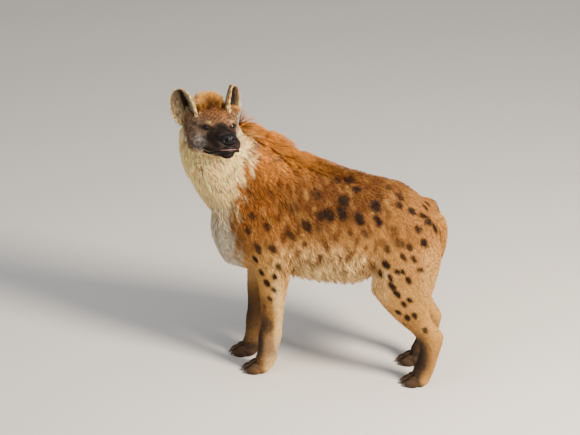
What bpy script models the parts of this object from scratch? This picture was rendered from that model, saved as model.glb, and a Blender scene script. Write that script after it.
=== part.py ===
"""Spotted hyena standing still, its head turned back over the left shoulder. Metres, +Z up.

The body is laid out in body axes: the animal faces -X, its left side is -Y and the floor is Z = 0.
The last step slides the whole figure along the floor, so that the origin lies under its middle.
"""

import math
import random

import bmesh
import bpy
import numpy as np
from mathutils import Matrix, Vector
from mathutils.bvhtree import BVHTree

# Fits and fineness
GAP = 0.0003
EAR_GAP = 0.0010
BODY_VOXEL = 0.009
HEAD_VOXEL = 0.0040
PAW_VOXEL = 0.0042
BODY_TRIANGLES = 3700
HEAD_TRIANGLES = 1400
PAW_TRIANGLES = 520
EDGE = 0.006
FAR = 1.0
SHARP_ANGLE = 40.0

# Trunk sections from breast to rump: station, back height, belly height, half width
TRUNK_ROWS = (
    (-0.450, 0.605, 0.480, 0.045),
    (-0.418, 0.694, 0.408, 0.086),
    (-0.347, 0.774, 0.371, 0.114),
    (-0.258, 0.817, 0.367, 0.131),
    (-0.149, 0.788, 0.365, 0.139),
    (-0.050, 0.759, 0.363, 0.145),
    (0.050, 0.739, 0.369, 0.145),
    (0.129, 0.730, 0.395, 0.134),
    (0.198, 0.714, 0.434, 0.122),
    (0.253, 0.676, 0.459, 0.112),
    (0.298, 0.642, 0.474, 0.092),
    (0.324, 0.606, 0.495, 0.062),
    (0.336, 0.572, 0.520, 0.030),
)

# Neck sections from shoulders to nape: place of the middle, half width, half depth
NECK_ROWS = (
    (-0.228, 0.000, 0.619, 0.105, 0.165),
    (-0.325, 0.000, 0.694, 0.114, 0.174),
    (-0.400, 0.000, 0.760, 0.112, 0.146),
    (-0.444, 0.002, 0.826, 0.104, 0.114),
    (-0.456, 0.008, 0.884, 0.094, 0.088),
    (-0.444, 0.018, 0.935, 0.066, 0.058),
)

# Leg sections from body to ankle: place of the middle, half side width, half fore-and-aft width
FORELEG_LEFT_ROWS = (
    (-0.286, -0.078, 0.659, 0.050, 0.090),
    (-0.263, -0.088, 0.579, 0.056, 0.098),
    (-0.236, -0.094, 0.489, 0.054, 0.090),
    (-0.221, -0.094, 0.419, 0.046, 0.070),
    (-0.222, -0.090, 0.349, 0.039, 0.053),
    (-0.226, -0.084, 0.256, 0.034, 0.042),
    (-0.230, -0.079, 0.190, 0.032, 0.038),
    (-0.237, -0.076, 0.140, 0.034, 0.042),
    (-0.245, -0.073, 0.091, 0.033, 0.036),
    (-0.253, -0.071, 0.050, 0.035, 0.037),
    (-0.259, -0.070, 0.026, 0.033, 0.034),
)
FORELEG_RIGHT_ROWS = (
    (-0.296, 0.075, 0.659, 0.050, 0.090),
    (-0.286, 0.083, 0.579, 0.056, 0.096),
    (-0.274, 0.085, 0.489, 0.053, 0.088),
    (-0.282, 0.080, 0.419, 0.046, 0.068),
    (-0.295, 0.073, 0.349, 0.039, 0.053),
    (-0.304, 0.064, 0.256, 0.034, 0.043),
    (-0.306, 0.057, 0.190, 0.032, 0.038),
    (-0.308, 0.053, 0.140, 0.034, 0.042),
    (-0.315, 0.050, 0.091, 0.033, 0.036),
    (-0.323, 0.048, 0.050, 0.035, 0.037),
    (-0.329, 0.047, 0.026, 0.033, 0.034),
)
HINDLEG_LEFT_ROWS = (
    (0.236, -0.060, 0.639, 0.050, 0.080),
    (0.237, -0.078, 0.579, 0.056, 0.104),
    (0.237, -0.092, 0.509, 0.059, 0.118),
    (0.231, -0.100, 0.429, 0.054, 0.112),
    (0.224, -0.099, 0.364, 0.047, 0.104),
    (0.238, -0.095, 0.307, 0.040, 0.079),
    (0.273, -0.088, 0.251, 0.033, 0.062),
    (0.317, -0.081, 0.201, 0.029, 0.052),
    (0.322, -0.075, 0.157, 0.027, 0.038),
    (0.312, -0.069, 0.107, 0.028, 0.036),
    (0.298, -0.064, 0.060, 0.032, 0.037),
    (0.289, -0.063, 0.026, 0.033, 0.034),
)
HINDLEG_RIGHT_ROWS = (
    (0.230, 0.060, 0.639, 0.050, 0.080),
    (0.226, 0.078, 0.579, 0.056, 0.102),
    (0.218, 0.090, 0.509, 0.058, 0.112),
    (0.214, 0.094, 0.429, 0.054, 0.106),
    (0.203, 0.097, 0.364, 0.047, 0.098),
    (0.214, 0.096, 0.307, 0.040, 0.078),
    (0.247, 0.093, 0.251, 0.033, 0.060),
    (0.288, 0.090, 0.197, 0.029, 0.050),
    (0.293, 0.089, 0.152, 0.027, 0.037),
    (0.282, 0.088, 0.102, 0.028, 0.036),
    (0.267, 0.089, 0.060, 0.032, 0.037),
    (0.258, 0.088, 0.026, 0.033, 0.034),
)

# Paws: heel place on the floor, turn of the toes away from straight ahead
PAWS = {
    "forepaw_left": ((-0.263, -0.070), 4.0),
    "forepaw_right": ((-0.333, 0.047), -2.0),
    "hindpaw_left": ((0.291, -0.062), 3.0),
    "hindpaw_right": ((0.254, 0.088), -3.0),
}
TOE_SPREAD = (-0.0290, -0.0105, 0.0105, 0.0290)
TOE_REACH = (0.030, 0.043, 0.043, 0.030)
TOE_SIZE = (0.027, 0.0125, 0.0165)
CLAW_LENGTH = 0.017
CLAW_RADIUS = 0.0042

LEGS = {
    "foreleg_left": FORELEG_LEFT_ROWS,
    "foreleg_right": FORELEG_RIGHT_ROWS,
    "hindleg_left": HINDLEG_LEFT_ROWS,
    "hindleg_right": HINDLEG_RIGHT_ROWS,
}
# Side outlines, in X and Z, of what parts from the torso as a leg
FORELEG_REGION = (
    (-0.42, -0.02), (-0.12, -0.02), (-0.14, 0.34), (-0.13, 0.43), (-0.18, 0.49), (-0.28, 0.50),
    (-0.36, 0.44), (-0.37, 0.30),
)
HINDLEG_REGION = (
    (0.14, -0.02), (0.42, -0.02), (0.42, 0.44), (0.37, 0.52), (0.28, 0.56), (0.18, 0.54),
    (0.11, 0.47), (0.08, 0.39), (0.10, 0.28),
)
LEG_REGIONS = {
    "foreleg_left": FORELEG_REGION,
    "foreleg_right": FORELEG_REGION,
    "hindleg_left": HINDLEG_REGION,
    "hindleg_right": HINDLEG_REGION,
}
LEG_OUTSIDE = 0.25
# A leg's inner face stands near the middle, and leans out above the belly
LIMB_INSIDE = 0.002
LIMB_LEAN = 0.22
BELLY_HEIGHT = 0.330
ANKLE_HEIGHT = 0.062
ANKLE_ROWS = 4
SOLE_HEIGHT = 0.0030
NECK_CUT = (-0.345, 0.0, 0.700)
NECK_CUT_WAY = (-0.71, 0.0, 0.71)
MANE_PARTING = -0.215

# Tail down the middle of the rump: place of the middle, half width, half depth
TAIL_ROWS = (
    (0.285, 0.000, 0.618, 0.020, 0.020),
    (0.318, 0.000, 0.606, 0.023, 0.022),
    (0.339, 0.001, 0.572, 0.022, 0.019),
    (0.337, 0.001, 0.520, 0.020, 0.017),
    (0.317, 0.000, 0.463, 0.018, 0.015),
    (0.289, 0.000, 0.412, 0.015, 0.013),
    (0.257, -0.002, 0.374, 0.009, 0.008),
)

# Core under the mane along the nape and withers: place of the middle, half width, half depth
MANE_ROWS = (
    (-0.368, 0.022, 0.876, 0.026, 0.020),
    (-0.315, 0.014, 0.843, 0.032, 0.024),
    (-0.262, 0.006, 0.810, 0.034, 0.026),
    (-0.190, 0.000, 0.776, 0.032, 0.026),
    (-0.090, 0.000, 0.748, 0.026, 0.020),
    (0.000, 0.000, 0.732, 0.018, 0.013),
)

# Locks of long hair: shares of the length and width from root to tip, and how deep roots sit
LOCK_PROFILE = ((0.0, 0.80), (0.38, 1.0), (0.74, 0.62))
LOCK_THICKNESS = 0.0055
LOCK_SINK = 0.009
MANE_STEPS = 15
CREST_ROWS = 2
CREST_COLUMNS = 8
RUFF_COLUMNS = 6
FRINGE_STEPS = 8
BRUSH_LOCKS = 15
GOLDEN_ANGLE = 137.5
# Mane line over the back, its locks' length and width, and their rows from side to side
MANE_LINE = (
    (-0.385, 0.024), (-0.350, 0.020), (-0.300, 0.012), (-0.240, 0.004), (-0.170, 0.0), (-0.100, 0.0),
    (-0.030, 0.0), (0.045, 0.0),
)
MANE_LOCK = (0.066, 0.024)
MANE_SIDES = (-0.034, 0.0, 0.034)
# Tuft that stands up between the ears, in head axes: station, half spread along and across
CREST_MIDDLE = -0.104
CREST_SPREAD = (0.020, 0.048)
CREST_SKY = 0.2
CREST_LOCK = (0.050, 0.020)
# Ruff under the cheeks and down the front of the neck: heights, and how far it reaches to each side
RUFF_HEIGHTS = (0.868, 0.835, 0.800, 0.762)
RUFF_SIDE = 0.072
RUFF_LOCK = (0.062, 0.026)
# Fringe of long hair along the lower flanks: first and last station, height of its two rows of roots
FRINGE_STATIONS = (-0.175, 0.125)
FRINGE_HEIGHTS = (0.412, 0.388)
FRINGE_LOCK = (0.074, 0.026)
# Brush at the end of the tail
BRUSH_LOCK = (0.085, 0.020)

# Head, in head axes: origin between the eyes, +X to the nose, +Y to its left, +Z up
HEAD_PLACE = (-0.402, -0.100, 0.921)
HEAD_SIZE = 0.92
HEAD_TURN = 120.0
HEAD_PITCH = 14.0
HEAD_ROLL = -4.0
# Skull and muzzle sections: station, top, bottom, half width
SKULL_ROWS = (
    (0.122, -0.026, -0.070, 0.022),
    (0.112, -0.014, -0.086, 0.034),
    (0.090, -0.003, -0.096, 0.042),
    (0.062, 0.003, -0.100, 0.047),
    (0.034, 0.013, -0.104, 0.055),
    (0.006, 0.032, -0.108, 0.070),
    (-0.030, 0.050, -0.112, 0.088),
    (-0.070, 0.060, -0.112, 0.099),
    (-0.110, 0.060, -0.106, 0.101),
    (-0.150, 0.046, -0.092, 0.090),
    (-0.178, 0.020, -0.060, 0.060),
)
# Muscle and bone under the face, left side: middle, half sizes
FACE_MASSES = (
    ((-0.046, 0.060, -0.048), (0.062, 0.043, 0.052)),
    ((-0.012, 0.038, 0.014), (0.036, 0.026, 0.013)),
    ((0.090, 0.028, -0.052), (0.038, 0.023, 0.026)),
    ((-0.104, 0.068, 0.020), (0.036, 0.030, 0.034)),
)
CROWN = ((-0.110, 0.0, 0.056), (0.055, 0.030, 0.020))
CHIN = ((0.092, 0.0, -0.086), (0.030, 0.026, 0.018))
EYE_PLACE = (0.004, 0.0440, 0.001)
EYE_WAY = (0.66, 0.72, 0.12)
EYE_RADIUS = 0.0125
LID_THICKNESS = 0.0026
EYE_OPENING = (0.0076, 0.0052)
EYE_SLANT = 14.0
NOSE_PLACE = (0.116, 0.0, -0.031)
NOSE_SIZE = (0.019, 0.031, 0.0220)
NOSTRIL_PLACE = (0.1305, 0.0165, -0.032)
NOSTRIL_SIZE = (0.010, 0.0054, 0.0066)
# Line of the closed lips on the left, from the middle of the front to the corner
MOUTH_LINE = (
    (0.128, 0.000, -0.0660),
    (0.120, 0.022, -0.0670),
    (0.098, 0.041, -0.0710),
    (0.070, 0.049, -0.0780),
    (0.044, 0.056, -0.0800),
    (0.022, 0.066, -0.0745),
)
LIP_RADIUS = 0.0042
MOUTH_OPENING = 0.0050
MOUTH_DEPTH = 0.018
TONGUE_BACK = 0.092
TONGUE_SIDE = 0.026
TONGUE_SHARE = 0.55
# Ears: foot, way up and way that the cup faces. The left one is turned a little further ahead.
EARS = {
    "ear_left": ((-0.106, 0.068, 0.004), (-0.22, 0.06, 0.97), (0.58, 0.80, 0.04)),
    "ear_right": ((-0.106, -0.074, 0.004), (-0.22, -0.18, 0.96), (0.52, -0.85, 0.04)),
}
EAR_HEIGHT = 0.134
EAR_WIDTH = 0.118
EAR_THICKNESS = 0.005
EAR_RIM = 0.0012
EAR_ROWS = 8
EAR_COLUMNS = 10
EAR_CUP = 0.030
EAR_CURL = 0.010
EAR_BROADEST = 0.42
# Side outline of the head in its own axes, and how far it reaches to each side
HEAD_REGION = ((-0.155, 0.20), (0.30, 0.20), (0.30, -0.20), (0.03, -0.126), (-0.155, -0.066))
HEAD_REGION_SIDE = 0.113

# Colours
RUFOUS = (0.30, 0.125, 0.040)
TAWNY = (0.36, 0.20, 0.088)
CREAM = (0.55, 0.43, 0.29)
DARK_BROWN = (0.075, 0.042, 0.024)
FACE_BROWN = (0.20, 0.105, 0.052)
COAT = {
    "torso": TAWNY, "neck": RUFOUS, "head": FACE_BROWN, "tail": DARK_BROWN,
    "foreleg_left": TAWNY, "foreleg_right": TAWNY, "hindleg_left": TAWNY, "hindleg_right": TAWNY,
    "forepaw_left": DARK_BROWN, "forepaw_right": DARK_BROWN,
    "hindpaw_left": DARK_BROWN, "hindpaw_right": DARK_BROWN,
    "ear_left": FACE_BROWN, "ear_right": FACE_BROWN,
}
EYE_COLOUR = (0.020, 0.010, 0.006)
NOSE_COLOUR = (0.012, 0.011, 0.012)
TONGUE_COLOUR = (0.42, 0.18, 0.15)
CLAW_COLOUR = (0.035, 0.026, 0.020)


def clear_scene():
    for old in list(bpy.data.objects):
        bpy.data.objects.remove(old)


def link(name, mesh):
    made = bpy.data.objects.new(name, mesh)
    bpy.context.scene.collection.objects.link(made)
    return made


def discard(*objects):
    for old in objects:
        bpy.data.objects.remove(old)


def resample(rows, count):
    """The rows as a smooth curve through them, read at count even steps."""
    rows = np.array(rows, float)
    steps = np.linalg.norm(np.diff(rows[:, :3], axis=0), axis=1)
    along = np.concatenate([[0.0], np.cumsum(steps)])
    slopes = np.gradient(rows, along, axis=0)
    reads = np.linspace(0.0, along[-1], count)
    seat = np.clip(np.searchsorted(along, reads) - 1, 0, len(rows) - 2)
    width = (along[seat + 1] - along[seat])[:, None]
    t = (reads - along[seat])[:, None] / width
    ahead = t * t * (3 - 2 * t)
    leave = t * (1 - t) ** 2
    arrive = t * t * (t - 1)
    return (
        rows[seat] * (1 - ahead)
        + rows[seat + 1] * ahead
        + slopes[seat] * width * leave
        + slopes[seat + 1] * width * arrive
    )


def skin_rings(name, rings):
    """A closed mesh over rings of points that follow one another."""
    form = bmesh.new()
    loops = [[form.verts.new(p) for p in ring] for ring in rings]
    for a, b in zip(loops, loops[1:]):
        for i in range(len(a)):
            j = (i + 1) % len(a)
            form.faces.new((a[i], a[j], b[j], b[i]))
    form.faces.new(loops[0][::-1])
    form.faces.new(loops[-1])
    bmesh.ops.triangulate(form, faces=[f for f in form.faces if len(f.verts) > 4])
    bmesh.ops.recalc_face_normals(form, faces=form.faces)
    mesh = bpy.data.meshes.new(name)
    form.to_mesh(mesh)
    form.free()
    return link(name, mesh)


def round_ring(middle, across, up, half_across, half_up, squareness=2.2, sides=28):
    """A superellipse round middle, in the plane of the two directions."""
    turns = np.arange(sides) * 2 * math.pi / sides
    c, s = np.cos(turns), np.sin(turns)
    share = 2.0 / squareness
    wide = np.sign(c) * np.abs(c) ** share * half_across
    tall = np.sign(s) * np.abs(s) ** share * half_up
    return np.array(middle) + wide[:, None] * np.array(across) + tall[:, None] * np.array(up)


def upright_sections(name, rows, count, squareness):
    """A form of sections that stand across X: station, top, bottom, half width."""
    rows = resample([(x, 0, (top + low) / 2, half, (top - low) / 2) for x, top, low, half in rows], count)
    return skin_rings(name, [round_ring(r[:3], (0, 1, 0), (0, 0, 1), r[3], r[4], squareness) for r in rows])


def level_sections(name, rows, count=34):
    """A limb of level sections: middle, half side width, half fore-and-aft width."""
    return skin_rings(name, [round_ring(r[:3], (0, 1, 0), (1, 0, 0), r[3], r[4]) for r in resample(rows, count)])


def bent_tube(name, rows, count, across=(0, 1, 0), squareness=2.1, sides=28):
    """A tube whose rings stand square to its own line."""
    rows = resample(rows, count)
    ways = np.gradient(rows[:, :3], axis=0)
    rings = []
    for row, way in zip(rows, ways):
        way = Vector(way).normalized()
        side = (Vector(across) - way * way.dot(Vector(across))).normalized()
        rings.append(round_ring(row[:3], side, way.cross(side), row[3], row[4], squareness, sides))
    return skin_rings(name, rings)


def egg(name, middle, half_sizes, detail=3, turn=None):
    """A ball drawn out to three half sizes."""
    form = bmesh.new()
    bmesh.ops.create_icosphere(form, subdivisions=detail, radius=1.0)
    mesh = bpy.data.meshes.new(name)
    form.to_mesh(mesh)
    form.free()
    mesh.transform(Matrix.Diagonal((*half_sizes, 1.0)))
    if turn is not None:
        mesh.transform(turn)
    mesh.transform(Matrix.Translation(middle))
    return link(name, mesh)


def block(name, low, high):
    form = bmesh.new()
    bmesh.ops.create_cube(form, size=1.0)
    mesh = bpy.data.meshes.new(name)
    form.to_mesh(mesh)
    form.free()
    low, high = Vector(low), Vector(high)
    mesh.transform(Matrix.Translation((low + high) / 2) @ Matrix.Diagonal((*(high - low), 1.0)))
    return link(name, mesh)


def half_space(name, point, normal):
    """A big block that fills the side of a plane that its normal points to."""
    made = block(name, (-FAR, -FAR, 0.0), (FAR, FAR, FAR))
    turn = Vector(normal).to_track_quat("Z", "Y").to_matrix().to_4x4()
    made.data.transform(Matrix.Translation(point) @ turn)
    return made


def side_prism(name, outline, near, far):
    """An outline in X and Z, drawn out from near to far in Y."""
    return skin_rings(name, [[(x, near, z) for x, z in outline], [(x, far, z) for x, z in outline]])


def apply_modifiers(made):
    graph = bpy.context.evaluated_depsgraph_get()
    mesh = bpy.data.meshes.new_from_object(made.evaluated_get(graph))
    made.modifiers.clear()
    made.data = mesh


def keep_largest(made):
    """Keeps the largest closed surface of a mesh, which drops loose scraps and fills sealed hollows."""
    form = bmesh.new()
    form.from_mesh(made.data)
    bmesh.ops.triangulate(form, faces=form.faces)
    left = set(form.faces)
    shells = []
    while left:
        shell, edge = set(), [left.pop()]
        while edge:
            face = edge.pop()
            shell.add(face)
            for loop in face.edges:
                for other in loop.link_faces:
                    if other in left:
                        left.discard(other)
                        edge.append(other)
        shells.append(shell)

    def volume(shell):
        corners = ([v.co for v in face.verts] for face in shell)
        return sum(a.dot(b.cross(c)) for a, b, c in corners)

    best = max(shells, key=volume)
    bmesh.ops.delete(form, geom=[f for s in shells if s is not best for f in s], context="FACES")
    form.to_mesh(made.data)
    form.free()


def boolean(made, other, operation):
    """One Boolean, by MANIFOLD, because EXACT loses pieces of the dense, remeshed flesh."""
    cut = made.modifiers.new("cut", "BOOLEAN")
    cut.operation = operation
    cut.solver = "MANIFOLD"
    cut.object = other
    apply_modifiers(made)


def add_all(made, forms):
    """Joins a collection of closed forms to made with one union, and removes them."""
    if not forms:
        return
    group = bpy.data.collections.new("joined")
    bpy.context.scene.collection.children.link(group)
    for form in forms:
        group.objects.link(form)
    join = made.modifiers.new("join", "BOOLEAN")
    join.operation = "UNION"
    join.solver = "MANIFOLD"
    join.operand_type = "COLLECTION"
    join.collection = group
    apply_modifiers(made)
    discard(*forms)
    bpy.data.collections.remove(group)
    keep_largest(made)


def grown(made, by):
    """A copy of made whose surface stands off by a small distance."""
    copy = link("grown", made.data.copy())
    swell = copy.modifiers.new("swell", "DISPLACE")
    swell.mid_level = 0.0
    swell.strength = by
    apply_modifiers(copy)
    return copy


def clear_of(made, *others, by=2 * GAP):
    """Cuts made back from its neighbours, so that they meet face to face with a thin gap."""
    for other in others:
        cutter = grown(other, by)
        boolean(made, cutter, "DIFFERENCE")
        discard(cutter)
    keep_largest(made)


def fuse(name, forms, voxel, smoothing, triangles):
    """One smooth closed form over the forms, which it uses up."""
    form = bmesh.new()
    for part in forms:
        form.from_mesh(part.data)
    mesh = bpy.data.meshes.new(name)
    form.to_mesh(mesh)
    form.free()
    discard(*forms)
    made = link(name, mesh)
    remesh = made.modifiers.new("remesh", "REMESH")
    remesh.mode = "VOXEL"
    remesh.voxel_size = voxel
    smooth = made.modifiers.new("smooth", "SMOOTH")
    smooth.factor = 0.5
    smooth.iterations = smoothing
    apply_modifiers(made)
    keep_largest(made)
    if triangles:
        thin(made, triangles)
    return made


def copy_of(name, made):
    return link(name, made.data.copy())


def head_matrix():
    """Head axes to body axes. With no turn the head faces -X."""
    face_ahead = Matrix.Rotation(math.pi, 4, "Z")
    turn = Matrix.Rotation(math.radians(HEAD_TURN), 4, "Z")
    pitch = Matrix.Rotation(-math.radians(HEAD_PITCH), 4, "Y")
    roll = Matrix.Rotation(math.radians(HEAD_ROLL), 4, "X")
    return Matrix.Translation(HEAD_PLACE) @ turn @ face_ahead @ pitch @ roll @ Matrix.Scale(HEAD_SIZE, 4)


def lock(root, out, lie, size, rise, droop, chance):
    """A flat, tapered lock of hair: it leaves the skin at its root, rises, and bends back along its lie."""
    length, width = size[0] * chance.uniform(0.85, 1.12), size[1] * chance.uniform(0.85, 1.1)
    out = Vector(out).normalized()
    side = out.cross(Vector(lie)).normalized()
    lie = side.cross(out)
    sway = chance.uniform(-0.16, 0.16)

    def middle(t):
        lift = rise * math.sin(t * math.pi / 2) - LOCK_SINK / length * (1.0 - t)
        bend = Vector((0, 0, -droop * t * t))
        return Vector(root) + (lie * t + out * lift + side * (sway * t * t) + bend) * length

    form = bmesh.new()
    loops = []
    for t, share in LOCK_PROFILE:
        way = (middle(t + 0.05) - middle(t)).normalized()
        face = way.cross(side).normalized() * (LOCK_THICKNESS / 2 * share)
        edge = side * (width / 2 * share)
        place = middle(t)
        loops.append([form.verts.new(p) for p in (place + edge, place + face, place - edge, place - face)])
    tip = form.verts.new(middle(1.0))
    form.faces.new(loops[0])
    for a, b in zip(loops, loops[1:]):
        for i in range(4):
            form.faces.new((a[i], b[i], b[i - 3], a[i - 3]))
    for i in range(4):
        form.faces.new((loops[-1][i], tip, loops[-1][i - 3]))
    bmesh.ops.recalc_face_normals(form, faces=form.faces)
    mesh = bpy.data.meshes.new("lock")
    form.to_mesh(mesh)
    form.free()
    return link("lock", mesh)


def surface_of(made):
    """A lookup of the points of a form's surface."""
    form = bmesh.new()
    form.from_mesh(made.data)
    tree = BVHTree.FromBMesh(form)
    form.free()
    return tree


def mane_locks(skin, first, last, seed):
    """Locks that lie back along the nape and withers, in rows that overlap like shingles."""
    chance = random.Random(seed)
    line = resample([(x, y, 0.0) for x, y in MANE_LINE], MANE_STEPS)
    made = []
    for step, (x, y, ground) in enumerate(line):
        if not first <= x < last:
            continue
        fade = 1.0 - 0.45 * step / MANE_STEPS
        for side in MANE_SIDES:
            start = (x + chance.uniform(-0.006, 0.006), y + side * (0.7 + 0.3 * fade), FAR)
            root, out, index, distance = skin.ray_cast(start, (0, 0, -1))
            lie = (0.90, side * 4.0, -0.45)
            size = (MANE_LOCK[0] * (0.7 + 0.3 * fade), MANE_LOCK[1])
            rise = (0.46 if side == 0.0 else 0.26) * fade + chance.uniform(-0.04, 0.04)
            made.append(lock(root, out, lie, size, rise, 0.0, chance))
    return made


def crest_locks(skin):
    """The upright tuft between the ears."""
    chance = random.Random(11)
    put = head_matrix()
    turn = put.to_quaternion()
    made = []
    for row in range(CREST_ROWS):
        for column in range(CREST_COLUMNS):
            across = (column + 0.5 * (row % 2) + 0.25) / CREST_COLUMNS * 2 - 1
            x = CREST_MIDDLE + CREST_SPREAD[0] * (row / (CREST_ROWS - 1) * 2 - 1)
            start = put @ Vector((x, CREST_SPREAD[1] * across, CREST_SKY))
            root, out, index, distance = skin.ray_cast(start, turn @ Vector((0, 0, -1)))
            way = turn @ Vector((0.1 - 0.35 * row, 0.45 * across, 1.0))
            facing = turn @ Vector((1.0, 0.0, 0.2))
            high = 1.0 - 0.35 * across * across
            made.append(lock(root, facing, way, (CREST_LOCK[0] * high, CREST_LOCK[1]), 0.05, 0.0, chance))
    return made


def ruff_locks(skin):
    """Locks that hang down the throat and under the cheeks."""
    chance = random.Random(23)
    made = []
    for row, height in enumerate(RUFF_HEIGHTS):
        for column in range(RUFF_COLUMNS):
            across = (column + 0.5 * (row % 2) + 0.25) / RUFF_COLUMNS * 2 - 1
            start = (-FAR, RUFF_SIDE * across, height + chance.uniform(-0.006, 0.006))
            root, out, index, distance = skin.ray_cast(start, (1, 0, 0))
            if root is None:
                continue
            made.append(lock(root, out, (0.05, 0.25 * across, -1.0), RUFF_LOCK, 0.24, 0.05, chance))
    return made


def fringe_locks(skin, side):
    """Long hair that hangs from the lower flank and sweeps back a little."""
    chance = random.Random(31 + side)
    first, last = FRINGE_STATIONS
    made = []
    for row, height in enumerate(FRINGE_HEIGHTS):
        for step in range(FRINGE_STEPS):
            share = (step + 0.5 * row) / (FRINGE_STEPS - 0.5)
            x = first + (last - first) * share
            start = (x, side * FAR, height + 0.020 * share ** 3 + chance.uniform(-0.005, 0.005))
            root, out, index, distance = skin.ray_cast(start, (0, -side, 0))
            longer = 0.75 + 0.35 * math.sin(math.pi * share)
            size = (FRINGE_LOCK[0] * longer, FRINGE_LOCK[1])
            made.append(lock(root, out, (0.22, 0.0, -1.0), size, 0.10, 0.0, chance))
    return made


def brush_locks():
    """Locks that clothe the end of the tail and hang past it."""
    chance = random.Random(47)
    line = resample(TAIL_ROWS, 24)[13:]
    made = []
    for number in range(BRUSH_LOCKS):
        share = number / (BRUSH_LOCKS - 1)
        place = line[int(share * (len(line) - 2))]
        ahead = line[int(share * (len(line) - 2)) + 1]
        way = Vector(ahead[:3] - place[:3]).normalized()
        turn = math.radians(GOLDEN_ANGLE * number)
        out = Vector((math.cos(turn), math.sin(turn), 0.0))
        out = (out - way * out.dot(way)).normalized()
        root = Vector(place[:3]) + out * float(place[3]) * 0.9
        made.append(lock(root, out, way, BRUSH_LOCK, 0.10, 0.05, chance))
    return made


def sided(place, side):
    """A place of the left side, or its mirror image where side is -1."""
    return (place[0], place[1] * side, place[2])


def paw_place(name):
    (x, y), turn = PAWS[name]
    return Matrix.Translation((x, y, 0.0)) @ Matrix.Rotation(math.radians(turn), 4, "Z")


def paw_forms(name):
    """The pad, four toes and four knuckles of a paw."""
    forms = [egg("pad", (-0.012, 0.0, 0.024), (0.042, 0.036, 0.028))]
    for across, reach in zip(TOE_SPREAD, TOE_REACH):
        forms.append(egg("toe", (-reach, across, TOE_SIZE[2] - 0.001), TOE_SIZE))
        forms.append(egg("knuckle", (-reach + 0.030, across * 0.85, 0.026), (0.026, 0.0125, 0.018)))
    for form in forms:
        form.data.transform(paw_place(name))
    return forms


def claws(name, flesh):
    """Four blunt, curved claws, cut clear of the toes that they grow from."""
    made = []
    for number, (across, reach) in enumerate(zip(TOE_SPREAD, TOE_REACH), start=1):
        root = -reach - TOE_SIZE[0] * 0.62
        rows = (
            (root, across, 0.0175, CLAW_RADIUS, CLAW_RADIUS * 1.25),
            (root - CLAW_LENGTH * 0.45, across, 0.0165, CLAW_RADIUS * 0.85, CLAW_RADIUS * 1.1),
            (root - CLAW_LENGTH * 0.8, across, 0.0115, CLAW_RADIUS * 0.6, CLAW_RADIUS * 0.7),
            (root - CLAW_LENGTH, across, 0.0065, CLAW_RADIUS * 0.3, CLAW_RADIUS * 0.35),
        )
        claw = bent_tube(f"claw_{name}_{number}", rows, 4, sides=5)
        claw.data.transform(paw_place(name))
        clear_of(claw, flesh)
        made.append(claw)
    return made


def head_forms():
    forms = [upright_sections("skull", SKULL_ROWS, 30, 2.2)]
    forms += [egg("crown", *CROWN), egg("chin", *CHIN)]
    for side in (1, -1):
        forms += [egg("mass", sided(middle, side), sizes) for middle, sizes in FACE_MASSES]
    for form in forms:
        form.data.transform(head_matrix())
    return forms


def eye_way(side):
    return Vector(sided(EYE_WAY, side)).normalized()


def lid_dome(side):
    """The rounded lids, still closed: a ball a little larger than the eye."""
    size = EYE_RADIUS + LID_THICKNESS
    return egg("lids", sided(EYE_PLACE, side), (size, size, size), 2)


def eye_opening(side):
    """The almond between the lids, lying along the eye's own line of sight."""
    way = eye_way(side)
    tilt = Matrix.Rotation(math.radians(-side * EYE_SLANT), 4, "X")
    turn = way.to_track_quat("X", "Z").to_matrix().to_4x4() @ tilt
    middle = Vector(sided(EYE_PLACE, side)) + way * EYE_RADIUS
    high = EYE_OPENING[0] if side > 0 else EYE_OPENING[1]
    return egg("opening", middle, (EYE_RADIUS, EYE_RADIUS, high), 2, turn)


def mouth_points(side):
    return [sided(point, side) for point in MOUTH_LINE]


def lip_tube(raised):
    """A lip that follows the mouth line from corner to corner."""
    line = mouth_points(-1)[:0:-1] + mouth_points(1)
    rows = []
    for x, y, z in line:
        fade = 1.0 - 0.45 * abs(y) / MOUTH_LINE[-1][1]
        rows.append((x, y, z + raised, LIP_RADIUS * fade, LIP_RADIUS * fade))
    return bent_tube("lip", rows, 14, across=(0, 0, 1), sides=6)


def mouth_slot(share=1.0):
    """The thin gap between the lips, widest in front and shut at the corners."""
    line = mouth_points(-1)[:0:-1] + mouth_points(1)
    rows = []
    for x, y, z in line:
        open_here = MOUTH_OPENING * share * (1.0 - 0.8 * abs(y) / MOUTH_LINE[-1][1])
        rows.append((x - MOUTH_DEPTH * 0.2, y * 0.96, z, open_here / 2, MOUTH_DEPTH * (0.6 + 0.4 * share)))
    return bent_tube("slot", rows, 14, across=(0, 0, 1), sides=6)


def ear(name):
    """A round cupped ear: an inner and an outer face that meet at the rim."""
    root, up, face = (Vector(values) for values in EARS[name])
    up = up.normalized()
    face = (face - up * face.dot(up)).normalized()
    across = up.cross(face) * (1 if root.y > 0 else -1)
    loops = []
    for i in range(EAR_ROWS + 1):
        t = i / EAR_ROWS
        half = EAR_WIDTH / 2 * ear_share(t)
        lean = EAR_CURL * t * t
        inner, outer = [], []
        for j in range(EAR_COLUMNS + 1):
            s = -1.0 + 2.0 * j / EAR_COLUMNS
            cup = EAR_CUP * (s * s) * (0.45 + 0.55 * ear_share(t)) - EAR_CUP * (1 - t) * 0.5
            thick = EAR_THICKNESS * (1.0 - 0.5 * s * s) * (1.0 - 0.45 * t) + EAR_RIM
            middle = root + up * (EAR_HEIGHT * t) + across * (half * s) + face * (cup + lean)
            inner.append(middle)
            outer.append(middle - face * thick)
        loops.append(inner + outer[::-1])
    made = skin_rings(name, loops)
    made.data.transform(head_matrix())
    return made


def ear_share(t):
    """How wide the ear is at a share of its height: round, and broadest a little below the middle."""
    return math.sqrt(1.0 - ((t - EAR_BROADEST) / (1.004 - EAR_BROADEST)) ** 2)


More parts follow.
